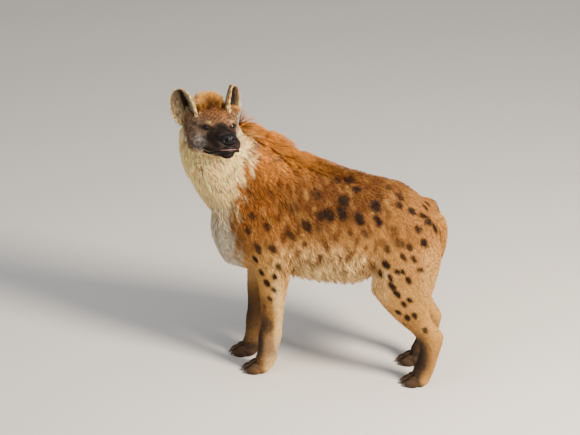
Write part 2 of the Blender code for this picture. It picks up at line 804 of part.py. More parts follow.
def head_region():
    """The side outline of the head in its own axes, parted from the neck behind the ears and jaw."""
    made = side_prism("head_region", HEAD_REGION, -HEAD_REGION_SIDE, HEAD_REGION_SIDE)
    made.data.transform(head_matrix())
    return made


def leg_region(name):
    """What parts from the torso as a leg: its side outline, whose inner face leans out above the belly."""
    side = -1 if name.endswith("left") else 1
    inner, outer = [], []
    for x, z in LEG_REGIONS[name]:
        inside = LIMB_INSIDE + max(z - BELLY_HEIGHT, 0.0) * LIMB_LEAN
        inner.append((x, side * inside, z))
        outer.append((x, side * LEG_OUTSIDE, z))
    return skin_rings("region", [inner, outer])


def neck_region():
    return half_space("neck_region", NECK_CUT, NECK_CUT_WAY)


def swollen(region, by=2 * GAP):
    """A region whose walls stand off a little, for cutting the neighbour back."""
    made = grown(region, by)
    discard(region)
    return made


def cut_to(made, region):
    boolean(made, region, "INTERSECT")
    discard(region)
    keep_largest(made)


def cut_away(made, region):
    boolean(made, region, "DIFFERENCE")
    discard(region)


def make_head():
    forms = head_forms() + [bent_tube("neck_end", NECK_ROWS, 20)]
    head = fuse("head", forms, HEAD_VOXEL, 5, None)
    cut_to(head, swollen(head_region(), EDGE))
    thin(head, HEAD_TRIANGLES)
    put = head_matrix()
    for side in (1, -1):
        for form, operation in ((lid_dome(side), "UNION"), (eye_opening(side), "DIFFERENCE")):
            form.data.transform(put)
            boolean(head, form, operation)
            discard(form)
    for raised in (LIP_RADIUS * 0.8, -LIP_RADIUS * 0.8):
        lip = lip_tube(raised)
        lip.data.transform(put)
        boolean(head, lip, "UNION")
        discard(lip)
    slot = mouth_slot()
    slot.data.transform(put)
    cut_away(head, slot)
    cut_to(head, head_region())
    add_all(head, crest_locks(surface_of(head)))
    return head


def thin(made, triangles):
    """Fewer triangles where the form is plain."""
    spare = made.modifiers.new("thin", "DECIMATE")
    spare.ratio = min(1.0, triangles / sum(len(f.vertices) - 2 for f in made.data.polygons))
    apply_modifiers(made)
    keep_largest(made)


def make_eye(side, head):
    name = "eye_left" if side > 0 else "eye_right"
    eye = egg(name, sided(EYE_PLACE, side), (EYE_RADIUS,) * 3)
    eye.data.transform(head_matrix())
    socket = grown(eye, 2 * GAP)
    cut_away(head, socket)
    return eye


def make_nose(head):
    nose = egg("nose", NOSE_PLACE, NOSE_SIZE)
    for side in (1, -1):
        turn = Matrix.Rotation(math.radians(side * 24), 4, "Z")
        hole = egg("nostril", sided(NOSTRIL_PLACE, side), NOSTRIL_SIZE, 2, turn)
        cut_away(nose, hole)
    nose.data.transform(head_matrix())
    clear_of(nose, head)
    return nose


def make_tongue():
    """The strip of tongue that shows between the lips, thinner than their gap."""
    tongue = mouth_slot(TONGUE_SHARE)
    tongue.name = "tongue"
    cut_to(tongue, block("front", (TONGUE_BACK, -TONGUE_SIDE, -FAR), (FAR, TONGUE_SIDE, FAR)))
    tongue.data.transform(head_matrix())
    return tongue


def paint(made, colour, roughness):
    look = bpy.data.materials.new(made.name)
    look.use_nodes = True
    surface = look.node_tree.nodes["Principled BSDF"]
    surface.inputs["Base Color"].default_value = (*colour, 1.0)
    surface.inputs["Roughness"].default_value = roughness
    surface.inputs["Metallic"].default_value = 0.0
    look.diffuse_color = (*colour, 1.0)
    made.data.materials.clear()
    made.data.materials.append(look)
    made.data.shade_smooth()
    made.data.set_sharp_from_angle(angle=math.radians(SHARP_ANGLE))


def centre_on_floor(made):
    """Slides the figure so that the origin lies on the floor under the middle of its box."""
    corners = np.array([v.co for part in made for v in part.data.vertices])
    low, high = corners.min(axis=0), corners.max(axis=0)
    slide = Matrix.Translation((-(low[0] + high[0]) / 2, -(low[1] + high[1]) / 2, -low[2]))
    for part in made:
        part.data.transform(slide)


def main():
    clear_scene()
    forms = [upright_sections("trunk", TRUNK_ROWS, 36, 2.25), bent_tube("neck_core", NECK_ROWS, 20)]
    forms += [level_sections("leg", rows) for rows in LEGS.values()]
    forms += head_forms() + [bent_tube("mane_core", MANE_ROWS, 24)]
    body = fuse("body", forms, BODY_VOXEL, 6, BODY_TRIANGLES)
    skin = surface_of(body)

    head = make_head()
    eyes = [make_eye(side, head) for side in (1, -1)]
    legs, paws = [], []
    for name in LEGS:
        leg = copy_of(name, body)
        cut_to(leg, leg_region(name))
        cut_to(leg, half_space("above", (0, 0, ANKLE_HEIGHT), (0, 0, 1)))
        paw_name = name.replace("leg", "paw")
        ankle = level_sections("ankle", LEGS[name][-ANKLE_ROWS:], 12)
        paw = fuse(paw_name, paw_forms(paw_name) + [ankle], PAW_VOXEL, 3, PAW_TRIANGLES)
        cut_to(paw, half_space("below", (0, 0, ANKLE_HEIGHT - GAP), (0, 0, -1)))
        cut_to(paw, half_space("floor", (0, 0, SOLE_HEIGHT), (0, 0, 1)))
        legs.append(leg)
        paws.append(paw)

    torso = copy_of("torso", body)
    cut_away(torso, swollen(neck_region()))
    for name in LEGS:
        cut_away(torso, swollen(leg_region(name)))
    keep_largest(torso)
    neck = copy_of("neck", body)
    cut_to(neck, neck_region())
    cut_away(neck, swollen(head_region()))
    keep_largest(neck)
    discard(body)

    add_all(torso, mane_locks(skin, MANE_PARTING, FAR, 3) + fringe_locks(skin, 1) + fringe_locks(skin, -1))
    clear_of(torso, neck, *legs, by=GAP)
    add_all(neck, mane_locks(skin, -FAR, MANE_PARTING, 5) + ruff_locks(skin))
    clear_of(neck, torso, head, *legs[:2], by=GAP)
    tail = bent_tube("tail", TAIL_ROWS, 14, sides=14)
    add_all(tail, brush_locks())
    clear_of(tail, torso, *legs[2:])

    nose = make_nose(head)
    tongue = make_tongue()
    ears = []
    for name in EARS:
        made = ear(name)
        clear_of(made, head, neck, by=EAR_GAP)
        ears.append(made)
    toe_claws = []
    for paw in paws:
        toe_claws += claws(paw.name, paw)

    looks = [(made, COAT[made.name], 0.9) for made in (torso, neck, head, tail, *legs, *paws, *ears)]
    looks += [(eye, EYE_COLOUR, 0.12) for eye in eyes]
    looks += [(nose, NOSE_COLOUR, 0.4), (tongue, TONGUE_COLOUR, 0.35)]
    looks += [(claw, CLAW_COLOUR, 0.45) for claw in toe_claws]
    for made, colour, roughness in looks:
        paint(made, colour, roughness)
    centre_on_floor([made for made, colour, roughness in looks])


main()
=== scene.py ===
"""Spotted hyena in its coat, standing still with its head turned back over the left shoulder.

The animal is laid out in body axes, facing -X with its left side to -Y, and is then slid to where the
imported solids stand.
"""

import math

import bmesh
import bpy
import numpy as np
from mathutils import Matrix, Vector
from mathutils.kdtree import KDTree


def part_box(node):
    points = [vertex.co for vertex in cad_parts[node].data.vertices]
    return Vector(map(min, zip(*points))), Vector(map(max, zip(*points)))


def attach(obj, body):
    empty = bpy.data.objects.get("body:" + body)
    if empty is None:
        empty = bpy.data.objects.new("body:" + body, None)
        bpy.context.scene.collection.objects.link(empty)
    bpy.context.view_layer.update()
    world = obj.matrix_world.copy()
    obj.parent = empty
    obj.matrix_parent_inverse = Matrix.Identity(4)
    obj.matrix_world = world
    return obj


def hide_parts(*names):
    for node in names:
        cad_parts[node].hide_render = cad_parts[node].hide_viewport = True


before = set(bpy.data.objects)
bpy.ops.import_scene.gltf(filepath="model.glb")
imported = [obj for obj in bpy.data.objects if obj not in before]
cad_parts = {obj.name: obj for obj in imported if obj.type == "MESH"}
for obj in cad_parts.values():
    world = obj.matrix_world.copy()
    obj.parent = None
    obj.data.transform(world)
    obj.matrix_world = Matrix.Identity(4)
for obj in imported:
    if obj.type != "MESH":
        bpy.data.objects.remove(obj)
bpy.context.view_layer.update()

# Trunk sections from breast to rump: station, back height, belly height, half width
TRUNK_ROWS = (
    (-0.450, 0.605, 0.480, 0.045),
    (-0.418, 0.694, 0.408, 0.086),
    (-0.347, 0.774, 0.371, 0.114),
    (-0.258, 0.817, 0.367, 0.131),
    (-0.149, 0.788, 0.365, 0.139),
    (-0.050, 0.759, 0.363, 0.145),
    (0.050, 0.739, 0.369, 0.145),
    (0.129, 0.730, 0.395, 0.134),
    (0.198, 0.714, 0.434, 0.122),
    (0.253, 0.676, 0.459, 0.112),
    (0.298, 0.642, 0.474, 0.092),
    (0.324, 0.606, 0.495, 0.062),
    (0.336, 0.572, 0.520, 0.030),
)
# Neck sections from shoulders to nape: place of the middle, half width, half depth
NECK_ROWS = (
    (-0.228, 0.000, 0.619, 0.105, 0.165),
    (-0.325, 0.000, 0.694, 0.114, 0.174),
    (-0.400, 0.000, 0.760, 0.112, 0.146),
    (-0.444, 0.002, 0.826, 0.104, 0.114),
    (-0.456, 0.008, 0.884, 0.094, 0.088),
    (-0.444, 0.018, 0.935, 0.066, 0.058),
)
# Leg sections from body to ankle: place of the middle, half side width, half fore-and-aft width
LEGS = {
    "foreleg_left": (
        (-0.286, -0.078, 0.659, 0.050, 0.090),
        (-0.263, -0.088, 0.579, 0.056, 0.098),
        (-0.236, -0.094, 0.489, 0.054, 0.090),
        (-0.221, -0.094, 0.419, 0.046, 0.070),
        (-0.222, -0.090, 0.349, 0.039, 0.053),
        (-0.226, -0.084, 0.256, 0.034, 0.042),
        (-0.230, -0.079, 0.190, 0.032, 0.038),
        (-0.237, -0.076, 0.140, 0.034, 0.042),
        (-0.245, -0.073, 0.091, 0.033, 0.036),
        (-0.253, -0.071, 0.050, 0.035, 0.037),
        (-0.259, -0.070, 0.026, 0.033, 0.034),
    ),
    "foreleg_right": (
        (-0.296, 0.075, 0.659, 0.050, 0.090),
        (-0.286, 0.083, 0.579, 0.056, 0.096),
        (-0.274, 0.085, 0.489, 0.053, 0.088),
        (-0.282, 0.080, 0.419, 0.046, 0.068),
        (-0.295, 0.073, 0.349, 0.039, 0.053),
        (-0.304, 0.064, 0.256, 0.034, 0.043),
        (-0.306, 0.057, 0.190, 0.032, 0.038),
        (-0.308, 0.053, 0.140, 0.034, 0.042),
        (-0.315, 0.050, 0.091, 0.033, 0.036),
        (-0.323, 0.048, 0.050, 0.035, 0.037),
        (-0.329, 0.047, 0.026, 0.033, 0.034),
    ),
    "hindleg_left": (
        (0.236, -0.060, 0.639, 0.050, 0.080),
        (0.237, -0.078, 0.579, 0.056, 0.104),
        (0.237, -0.092, 0.509, 0.059, 0.118),
        (0.231, -0.100, 0.429, 0.054, 0.112),
        (0.224, -0.099, 0.364, 0.047, 0.104),
        (0.238, -0.095, 0.307, 0.040, 0.079),
        (0.273, -0.088, 0.251, 0.033, 0.062),
        (0.317, -0.081, 0.201, 0.029, 0.052),
        (0.322, -0.075, 0.157, 0.027, 0.038),
        (0.312, -0.069, 0.107, 0.028, 0.036),
        (0.298, -0.064, 0.060, 0.032, 0.037),
        (0.289, -0.063, 0.026, 0.033, 0.034),
    ),
    "hindleg_right": (
        (0.230, 0.060, 0.639, 0.050, 0.080),
        (0.226, 0.078, 0.579, 0.056, 0.102),
        (0.218, 0.090, 0.509, 0.058, 0.112),
        (0.214, 0.094, 0.429, 0.054, 0.106),
        (0.203, 0.097, 0.364, 0.047, 0.098),
        (0.214, 0.096, 0.307, 0.040, 0.078),
        (0.247, 0.093, 0.251, 0.033, 0.060),
        (0.288, 0.090, 0.197, 0.029, 0.050),
        (0.293, 0.089, 0.152, 0.027, 0.037),
        (0.282, 0.088, 0.102, 0.028, 0.036),
        (0.267, 0.089, 0.060, 0.032, 0.037),
        (0.258, 0.088, 0.026, 0.033, 0.034),
    ),
}
# Paws: heel place on the floor, turn of the toes away from straight ahead
PAWS = {
    "forepaw_left": ((-0.263, -0.070), 4.0),
    "forepaw_right": ((-0.333, 0.047), -2.0),
    "hindpaw_left": ((0.291, -0.062), 3.0),
    "hindpaw_right": ((0.254, 0.088), -3.0),
}
TOE_SPREAD = (-0.0290, -0.0105, 0.0105, 0.0290)
TOE_REACH = (0.030, 0.043, 0.043, 0.030)
TOE_SIZE = (0.027, 0.0125, 0.0165)
CLAW_LENGTH = 0.017
CLAW_RADIUS = 0.0042
# Lowest heights of the skin and of the hair
SOLE_HEIGHT = 0.0030
FLOOR_CLEAR = 0.0031
# Tail and the core under the mane: place of the middle, half width, half depth
TAIL_ROWS = (
    (0.285, 0.000, 0.618, 0.020, 0.020),
    (0.318, 0.000, 0.606, 0.023, 0.022),
    (0.339, 0.001, 0.572, 0.022, 0.019),
    (0.337, 0.001, 0.520, 0.020, 0.017),
    (0.317, 0.000, 0.463, 0.018, 0.015),
    (0.289, 0.000, 0.412, 0.015, 0.013),
    (0.257, -0.002, 0.374, 0.009, 0.008),
)
MANE_ROWS = (
    (-0.368, 0.022, 0.876, 0.026, 0.020),
    (-0.315, 0.014, 0.843, 0.032, 0.024),
    (-0.262, 0.006, 0.810, 0.034, 0.026),
    (-0.190, 0.000, 0.776, 0.032, 0.026),
    (-0.090, 0.000, 0.748, 0.026, 0.020),
    (0.000, 0.000, 0.732, 0.018, 0.013),
)
# Head, in head axes: origin between the eyes, +X to the nose, +Y to its left, +Z up
HEAD_PLACE = (-0.402, -0.100, 0.921)
HEAD_SIZE = 0.92
HEAD_TURN = 120.0
HEAD_PITCH = 14.0
HEAD_ROLL = -4.0
SKULL_ROWS = (
    (0.122, -0.026, -0.070, 0.022),
    (0.112, -0.014, -0.086, 0.034),
    (0.090, -0.003, -0.096, 0.042),
    (0.062, 0.003, -0.100, 0.047),
    (0.034, 0.013, -0.104, 0.055),
    (0.006, 0.032, -0.108, 0.070),
    (-0.030, 0.050, -0.112, 0.088),
    (-0.070, 0.060, -0.112, 0.099),
    (-0.110, 0.060, -0.106, 0.101),
    (-0.150, 0.046, -0.092, 0.090),
    (-0.178, 0.020, -0.060, 0.060),
)
FACE_MASSES = (
    ((-0.046, 0.060, -0.048), (0.062, 0.043, 0.052)),
    ((-0.012, 0.038, 0.014), (0.036, 0.026, 0.013)),
    ((0.090, 0.028, -0.052), (0.038, 0.023, 0.026)),
    ((-0.104, 0.068, 0.020), (0.036, 0.030, 0.034)),
)
CROWN = ((-0.110, 0.0, 0.056), (0.055, 0.030, 0.020))
CHIN = ((0.092, 0.0, -0.086), (0.030, 0.026, 0.018))
EYE_PLACE = (0.004, 0.0440, 0.001)
EYE_WAY = (0.66, 0.72, 0.12)
EYE_RADIUS = 0.0125
EYE_OPENING = (0.0115, 0.0072)
EYE_SLANT = 14.0
EYE_BARE = 0.0145
LIDS_REACH = (0.0180, 0.0120)
NOSE_PLACE = (0.116, 0.0, -0.031)
NOSE_SIZE = (0.019, 0.031, 0.0220)
NOSTRIL_PLACE = (0.1305, 0.0165, -0.032)
MOUTH_LINE = (
    (0.128, 0.000, -0.0660),
    (0.120, 0.022, -0.0670),
    (0.098, 0.041, -0.0710),
    (0.070, 0.049, -0.0780),
    (0.044, 0.056, -0.0800),
    (0.022, 0.066, -0.0745),
)
LIP_RADIUS = 0.0062
MOUTH_DEPTH = 0.018
# Ears: foot, way up and way that the cup faces
EARS = {
    "ear_left": ((-0.106, 0.068, 0.004), (-0.22, 0.06, 0.97), (0.58, 0.80, 0.04)),
    "ear_right": ((-0.106, -0.074, 0.004), (-0.22, -0.18, 0.96), (0.52, -0.85, 0.04)),
}
EAR_HEIGHT = 0.134
EAR_WIDTH = 0.118
EAR_THICKNESS = 0.005
EAR_CUP = 0.030
EAR_CURL = 0.010
EAR_BROADEST = 0.42
EAR_TIP = 1.004
EAR_INSET = 0.985

# Where parts of the coat meet
NECK_CUT = np.array((-0.345, 0.0, 0.700))
NECK_WAY = np.array((-0.71, 0.0, 0.71))
HEAD_SHARE = -0.150

# Colours of the coat
RUFOUS = (0.33, 0.105, 0.016)
ORANGE = (0.52, 0.185, 0.026)
SANDY = (0.55, 0.265, 0.070)
TAWNY = (0.30, 0.120, 0.028)
GOLDEN = (0.60, 0.310, 0.080)
UMBER = (0.115, 0.040, 0.009)
CREAM = (1.00, 0.710, 0.320)
BUFF = (0.62, 0.390, 0.160)
CREST_GOLD = (0.78, 0.390, 0.090)
ASH = (0.28, 0.255, 0.235)
PALE_ASH = (0.62, 0.560, 0.460)
FACE_BROWN = (0.215, 0.108, 0.055)
CHEEK_GREY = (0.270, 0.185, 0.120)
DARK_LIP = (0.046, 0.030, 0.026)
PAW_BROWN = (0.064, 0.038, 0.024)
MUZZLE = (0.018, 0.013, 0.013)
SOOT = (0.028, 0.017, 0.011)
SPOT = (0.024, 0.010, 0.005)

# Tints laid over one another: middle, half sizes, colour, strength. Wide ones hold on both sides.
BODY_TINTS = (
    ((-0.08, 0.0, 0.76), (0.34, 0.30, 0.15), RUFOUS, 0.90),
    ((-0.27, 0.0, 0.66), (0.15, 0.30, 0.20), RUFOUS, 0.90),
    ((-0.20, 0.0, 0.80), (0.16, 0.12, 0.10), ORANGE, 0.80),
    ((-0.01, 0.0, 0.63), (0.19, 0.30, 0.11), UMBER, 0.62),
    ((0.12, 0.0, 0.70), (0.16, 0.30, 0.08), UMBER, 0.75),
    ((-0.06, 0.0, 0.70), (0.18, 0.30, 0.07), UMBER, 0.62),
    ((0.18, 0.0, 0.62), (0.050, 0.30, 0.050), UMBER, 0.40),
    ((-0.27, 0.0, 0.57), (0.06, 0.30, 0.11), UMBER, 0.40),
    ((-0.285, 0.0, 0.71), (0.022, 0.30, 0.07), UMBER, 0.40),
    ((-0.01, 0.0, 0.43), (0.22, 0.30, 0.10), BUFF, 0.90),
    ((0.02, 0.0, 0.37), (0.25, 0.30, 0.06), BUFF, 0.60),
    ((0.02, 0.0, 0.41), (0.16, 0.30, 0.05), CREAM, 0.45),
)
NAPE_TINTS = (
    ((-0.29, 0.015, 0.87), (0.10, 0.050, 0.05), ORANGE, 0.90),
    ((-0.36, 0.060, 0.87), (0.07, 0.050, 0.08), RUFOUS, 0.80),
    ((-0.42, 0.090, 0.93), (0.10, 0.080, 0.06), RUFOUS, 0.90),
    ((-0.42, 0.020, 0.98), (0.11, 0.140, 0.06), RUFOUS, 0.95),
)
# Where the pale front of the neck and chest ends: heights, and the station of the edge at each
PALE_FRONT = ((0.37, 0.45, 0.50, 0.55, 0.63, 0.69, 0.77, 0.79, 0.86, 0.92),
              (-0.315, -0.335, -0.342, -0.362, -0.345, -0.330, -0.305, -0.297, -0.300, -0.330))
LEG_TINTS = (
    ((-0.23, 0.0, 0.36), (0.09, 0.30, 0.16), GOLDEN, 0.90),
    # painted highlight along the back edge of the left foreleg, the side that faces the light
    ((-0.200, -0.08, 0.33), (0.020, 0.07, 0.12), CREAM, 0.60),
    ((-0.31, 0.07, 0.36), (0.08, 0.06, 0.08), BUFF, 0.60),
    # painted shade down the front edge of the left foreleg, turned from the light
    ((-0.262, -0.08, 0.21), (0.028, 0.06, 0.12), UMBER, 0.70),
    ((-0.235, -0.10, 0.26), (0.024, 0.05, 0.07), UMBER, 0.50),
    ((-0.240, -0.10, 0.200), (0.026, 0.05, 0.035), PAW_BROWN, 0.80),
    ((-0.225, -0.08, 0.11), (0.050, 0.06, 0.06), CHEEK_GREY, 0.60),
    # painted shade down the front edge of the lower left foreleg
    ((-0.275, -0.08, 0.13), (0.024, 0.06, 0.09), SOOT, 0.90),
    # painted highlight along the back edge of the lower left foreleg
    ((-0.202, -0.08, 0.15), (0.016, 0.06, 0.08), CREAM, 0.55),
    ((-0.31, 0.06, 0.16), (0.075, 0.055, 0.13), SOOT, 0.92),
    ((-0.33, 0.0, 0.020), (0.080, 0.30, 0.060), PAW_BROWN, 0.95),
    ((-0.23, -0.07, 0.030), (0.022, 0.06, 0.050), CREAM, 0.60),
    ((0.24, 0.0, 0.50), (0.15, 0.30, 0.18), SANDY, 0.90),
    ((0.24, 0.0, 0.61), (0.15, 0.30, 0.08), TAWNY, 0.75),
    ((0.24, 0.0, 0.34), (0.12, 0.30, 0.10), GOLDEN, 0.75),
    ((0.34, 0.0, 0.22), (0.05, 0.30, 0.07), GOLDEN, 0.85),
    ((0.160, -0.14, 0.40), (0.030, 0.08, 0.10), CREAM, 0.22),
    ((0.320, -0.12, 0.45), (0.030, 0.08, 0.10), CREAM, 0.15),
    ((0.260, -0.12, 0.26), (0.030, 0.08, 0.05), UMBER, 0.35),
    ((0.290, -0.08, 0.13), (0.036, 0.06, 0.095), PAW_BROWN, 0.95),
    ((0.278, -0.07, 0.11), (0.026, 0.06, 0.085), SOOT, 0.95),
    ((0.27, 0.09, 0.10), (0.060, 0.05, 0.120), PAW_BROWN, 0.95),
    ((0.24, 0.0, 0.020), (0.085, 0.30, 0.060), PAW_BROWN, 0.97),
    ((0.31, -0.06, 0.030), (0.020, 0.06, 0.040), GOLDEN, 0.70),
)
TAIL_TINTS = (
    ((0.27, 0.0, 0.37), (0.10, 0.10, 0.10), SOOT, 0.95),
)
# Tints of the head in its own axes, left side
FACE_TINTS = (
    ((-0.020, 0.090, -0.015), (0.075, 0.050, 0.060), CHEEK_GREY, 0.60),
    ((-0.07, 0.0, 0.055), (0.080, 0.060, 0.045), RUFOUS, 0.35),
    ((-0.12, 0.0, 0.075), (0.045, 0.070, 0.045), ORANGE, 0.95),
    ((-0.062, 0.0, 0.070), (0.020, 0.066, 0.016), UMBER, 0.90),
    ((0.000, 0.070, -0.055), (0.042, 0.034, 0.034), ASH, 0.70),
    ((-0.060, 0.090, -0.060), (0.022, 0.030, 0.040), UMBER, 0.45),
    ((-0.130, 0.095, -0.075), (0.045, 0.045, 0.050), PALE_ASH, 0.95),
    ((-0.060, 0.050, -0.110), (0.090, 0.060, 0.028), CREAM, 0.90),
    ((0.008, 0.046, 0.022), (0.018, 0.016, 0.007), BUFF, 0.55),
    ((0.076, 0.0, -0.030), (0.046, 0.060, 0.048), MUZZLE, 0.97),
    ((0.042, 0.0, 0.008), (0.026, 0.024, 0.016), MUZZLE, 0.90),
    ((0.110, 0.0, -0.050), (0.050, 0.065, 0.036), MUZZLE, 0.95),
    ((0.112, 0.0, -0.058), (0.026, 0.040, 0.012), DARK_LIP, 0.85),
    ((0.040, 0.044, -0.026), (0.020, 0.018, 0.034), SOOT, 0.92),
    ((0.082, 0.0, -0.090), (0.064, 0.065, 0.021), MUZZLE, 0.97),
    ((0.030, 0.062, -0.078), (0.022, 0.018, 0.014), MUZZLE, 0.95),
    ((0.008, 0.050, 0.001), (0.024, 0.020, 0.010), SOOT, 0.98),
    ((0.030, 0.034, -0.002), (0.016, 0.012, 0.010), SOOT, 0.98),
    ((-0.012, 0.060, 0.003), (0.014, 0.012, 0.005), SOOT, 0.85),
)
# The left cheek only, painted pale where it meets the ruff: painted light on the side that faces the light
LEFT_CHEEK_PAINTED_LIGHT = (
    ((-0.005, 0.092, -0.050), (0.060, 0.028, 0.050), CREAM, 0.70),
)

# Spots on the left side: place, size and darkness. The right side has them a little shifted.
SPOTS = (
    (-0.018, -0.054, 0.741, 0.016, 0.6), (0.025, -0.039, 0.738, 0.015, 0.8), (0.057, -0.069, 0.721, 0.016, 0.9),
    (0.019, -0.105, 0.695, 0.019, 0.9), (-0.027, -0.133, 0.650, 0.021, 0.9), (0.017, -0.128, 0.656, 0.020, 1.0),
    (0.078, -0.129, 0.639, 0.019, 1.0), (-0.099, -0.140, 0.603, 0.018, 0.8), (-0.056, -0.135, 0.641, 0.017, 0.8),
    (0.129, -0.101, 0.680, 0.022, 1.0), (0.140, -0.122, 0.634, 0.017, 0.9), (0.248, -0.073, 0.658, 0.013, 1.0),
    (0.286, -0.067, 0.641, 0.015, 1.0), (0.303, -0.089, 0.633, 0.014, 1.0), (0.329, -0.077, 0.604, 0.016, 1.0),
    (0.219, -0.136, 0.567, 0.016, 0.6), (0.300, -0.127, 0.570, 0.013, 1.0), (0.253, -0.139, 0.556, 0.011, 0.8),
    (0.232, -0.148, 0.522, 0.012, 0.8), (0.265, -0.148, 0.517, 0.011, 0.8), (0.173, -0.145, 0.489, 0.015, 1.0),
    (0.156, -0.141, 0.449, 0.013, 1.0), (0.216, -0.153, 0.467, 0.010, 0.9), (0.233, -0.154, 0.466, 0.010, 0.9),
    (0.251, -0.153, 0.437, 0.012, 0.9), (0.197, -0.150, 0.408, 0.014, 1.0), (0.214, -0.147, 0.379, 0.013, 1.0),
    (0.257, -0.142, 0.356, 0.011, 1.0), (0.237, -0.142, 0.342, 0.012, 1.0), (0.216, -0.132, 0.304, 0.011, 1.0),
    (0.247, -0.129, 0.286, 0.012, 1.0), (0.274, -0.129, 0.293, 0.011, 1.0), (0.305, -0.116, 0.236, 0.010, 0.8),
    (-0.262, -0.146, 0.504, 0.013, 0.8), (-0.297, -0.142, 0.564, 0.013, 0.8), (-0.271, -0.138, 0.461, 0.012, 0.9),
    (-0.255, -0.133, 0.411, 0.011, 1.0), (-0.208, -0.136, 0.402, 0.011, 1.0), (-0.235, -0.132, 0.374, 0.012, 1.0),
    (-0.213, -0.128, 0.348, 0.011, 1.0), (-0.227, -0.123, 0.308, 0.010, 0.8), (-0.214, -0.146, 0.505, 0.013, 0.8),
    (-0.233, -0.139, 0.591, 0.014, 0.7), (-0.284, -0.137, 0.615, 0.013, 0.7), (-0.140, -0.130, 0.660, 0.017, 0.5),
    (-0.150, -0.140, 0.560, 0.016, 0.6), (-0.070, -0.100, 0.700, 0.017, 0.6), (0.100, -0.140, 0.590, 0.016, 0.7),
    (0.195, -0.130, 0.610, 0.016, 0.6), (0.190, -0.150, 0.440, 0.011, 0.9), (0.285, -0.130, 0.400, 0.010, 0.8),
    (0.290, -0.140, 0.480, 0.011, 0.8), (-0.250, -0.120, 0.275, 0.009, 0.7), (-0.230, -0.120, 0.245, 0.009, 0.6),
    (-0.190, -0.140, 0.440, 0.012, 0.8), (0.205, -0.080, 0.685, 0.014, 0.8), (0.175, -0.140, 0.540, 0.013, 0.7),
    (0.275, -0.110, 0.610, 0.012, 0.8), (0.290, -0.100, 0.265, 0.009, 0.9), (0.235, -0.120, 0.250, 0.009, 0.9),
    (0.285, -0.020, 0.653, 0.013, 0.9), (0.200, -0.050, 0.698, 0.015, 0.7), (0.160, -0.030, 0.722, 0.014, 0.6),
    (0.325, -0.040, 0.580, 0.013, 0.9), (0.178, -0.130, 0.420, 0.009, 0.8), (0.170, -0.120, 0.385, 0.009, 0.8),
)
SPOT_LIE = np.array((0.50, 0.0, -0.86))

# Lie of the coat: places on the left side and the way the hair points there
BODY_LIE = (
    ((-0.36, 0.02, 0.89), (0.95, 0.0, -0.10)),
    ((-0.25, 0.0, 0.83), (0.95, 0.0, -0.20)),
    ((-0.10, 0.0, 0.78), (0.98, 0.0, -0.10)),
    ((0.10, 0.0, 0.75), (0.98, 0.0, -0.05)),
    ((0.25, 0.0, 0.70), (0.85, 0.0, -0.45)),
    ((0.33, 0.0, 0.60), (0.20, 0.0, -0.98)),
    ((-0.40, -0.10, 0.82), (0.45, -0.1, -0.90)),
    ((-0.47, -0.06, 0.78), (0.20, 0.0, -0.98)),
    ((-0.47, 0.06, 0.78), (0.30, 0.0, -0.95)),
    ((-0.36, -0.12, 0.70), (0.60, 0.0, -0.80)),
    ((-0.44, -0.06, 0.62), (0.35, 0.0, -0.95)),
    ((-0.42, -0.03, 0.50), (0.55, 0.0, -0.80)),
    ((-0.25, -0.13, 0.66), (0.55, 0.0, -0.80)),
    ((-0.25, -0.13, 0.52), (0.30, 0.0, -0.95)),
    ((-0.10, -0.14, 0.68), (0.80, 0.0, -0.60)),
    ((-0.10, -0.14, 0.54), (0.60, 0.0, -0.80)),
    ((-0.08, -0.14, 0.43), (0.35, 0.0, -0.95)),
    ((0.05, -0.14, 0.66), (0.80, 0.0, -0.60)),
    ((0.05, -0.14, 0.54), (0.55, 0.0, -0.85)),
    ((0.05, -0.14, 0.43), (0.15, 0.0, -0.98)),
    ((0.14, -0.13, 0.50), (0.10, 0.0, -1.00)),
    ((0.15, -0.12, 0.66), (0.75, 0.0, -0.65)),
    ((0.24, -0.14, 0.58), (0.55, 0.0, -0.85)),
    ((0.24, -0.15, 0.45), (0.30, 0.0, -0.95)),
    ((0.20, -0.14, 0.34), (0.45, 0.0, -0.90)),
    ((0.32, -0.10, 0.50), (0.05, 0.0, -1.00)),
    ((0.30, -0.10, 0.24), (0.45, 0.0, -0.90)),
    ((0.31, -0.08, 0.12), (-0.15, 0.0, -1.00)),
    ((0.27, -0.07, 0.03), (-0.90, 0.0, -0.40)),
    ((-0.23, -0.12, 0.40), (0.15, 0.0, -1.00)),
    ((-0.23, -0.10, 0.25), (0.05, 0.0, -1.00)),
    ((-0.24, -0.09, 0.12), (0.05, 0.0, -1.00)),
    ((-0.29, -0.07, 0.03), (-0.90, 0.0, -0.40)),
    ((-0.05, 0.0, 0.36), (0.90, 0.0, -0.20)),
    ((0.34, 0.0, 0.45), (-0.10, 0.0, -1.00)),
)
HEAD_LIE = (
    ((0.110, 0.000, -0.010), (-0.95, 0.0, 0.20)),
    ((0.100, 0.035, -0.045), (-0.90, 0.2, -0.25)),
    ((0.060, 0.000, 0.010), (-0.95, 0.0, 0.25)),
    ((0.050, 0.050, -0.050), (-0.90, 0.3, -0.30)),
    ((0.000, 0.000, 0.050), (-0.90, 0.0, 0.45)),
    ((0.020, 0.050, 0.010), (-0.85, 0.4, 0.20)),
    ((-0.030, 0.080, 0.020), (-0.85, 0.4, 0.15)),
    ((-0.030, 0.090, -0.050), (-0.80, 0.3, -0.50)),
    ((-0.090, 0.000, 0.070), (-0.85, 0.0, 0.50)),
    ((-0.110, 0.100, -0.020), (-0.75, 0.2, -0.60)),
    ((-0.100, 0.090, -0.080), (-0.60, 0.1, -0.80)),
    ((0.080, 0.000, -0.100), (-0.90, 0.0, -0.40)),
    ((0.000, 0.040, -0.110), (-0.85, 0.1, -0.50)),
    ((-0.080, 0.020, -0.110), (-0.70, 0.0, -0.70)),
    ((-0.160, 0.000, 0.030), (-0.60, 0.0, -0.80)),
)

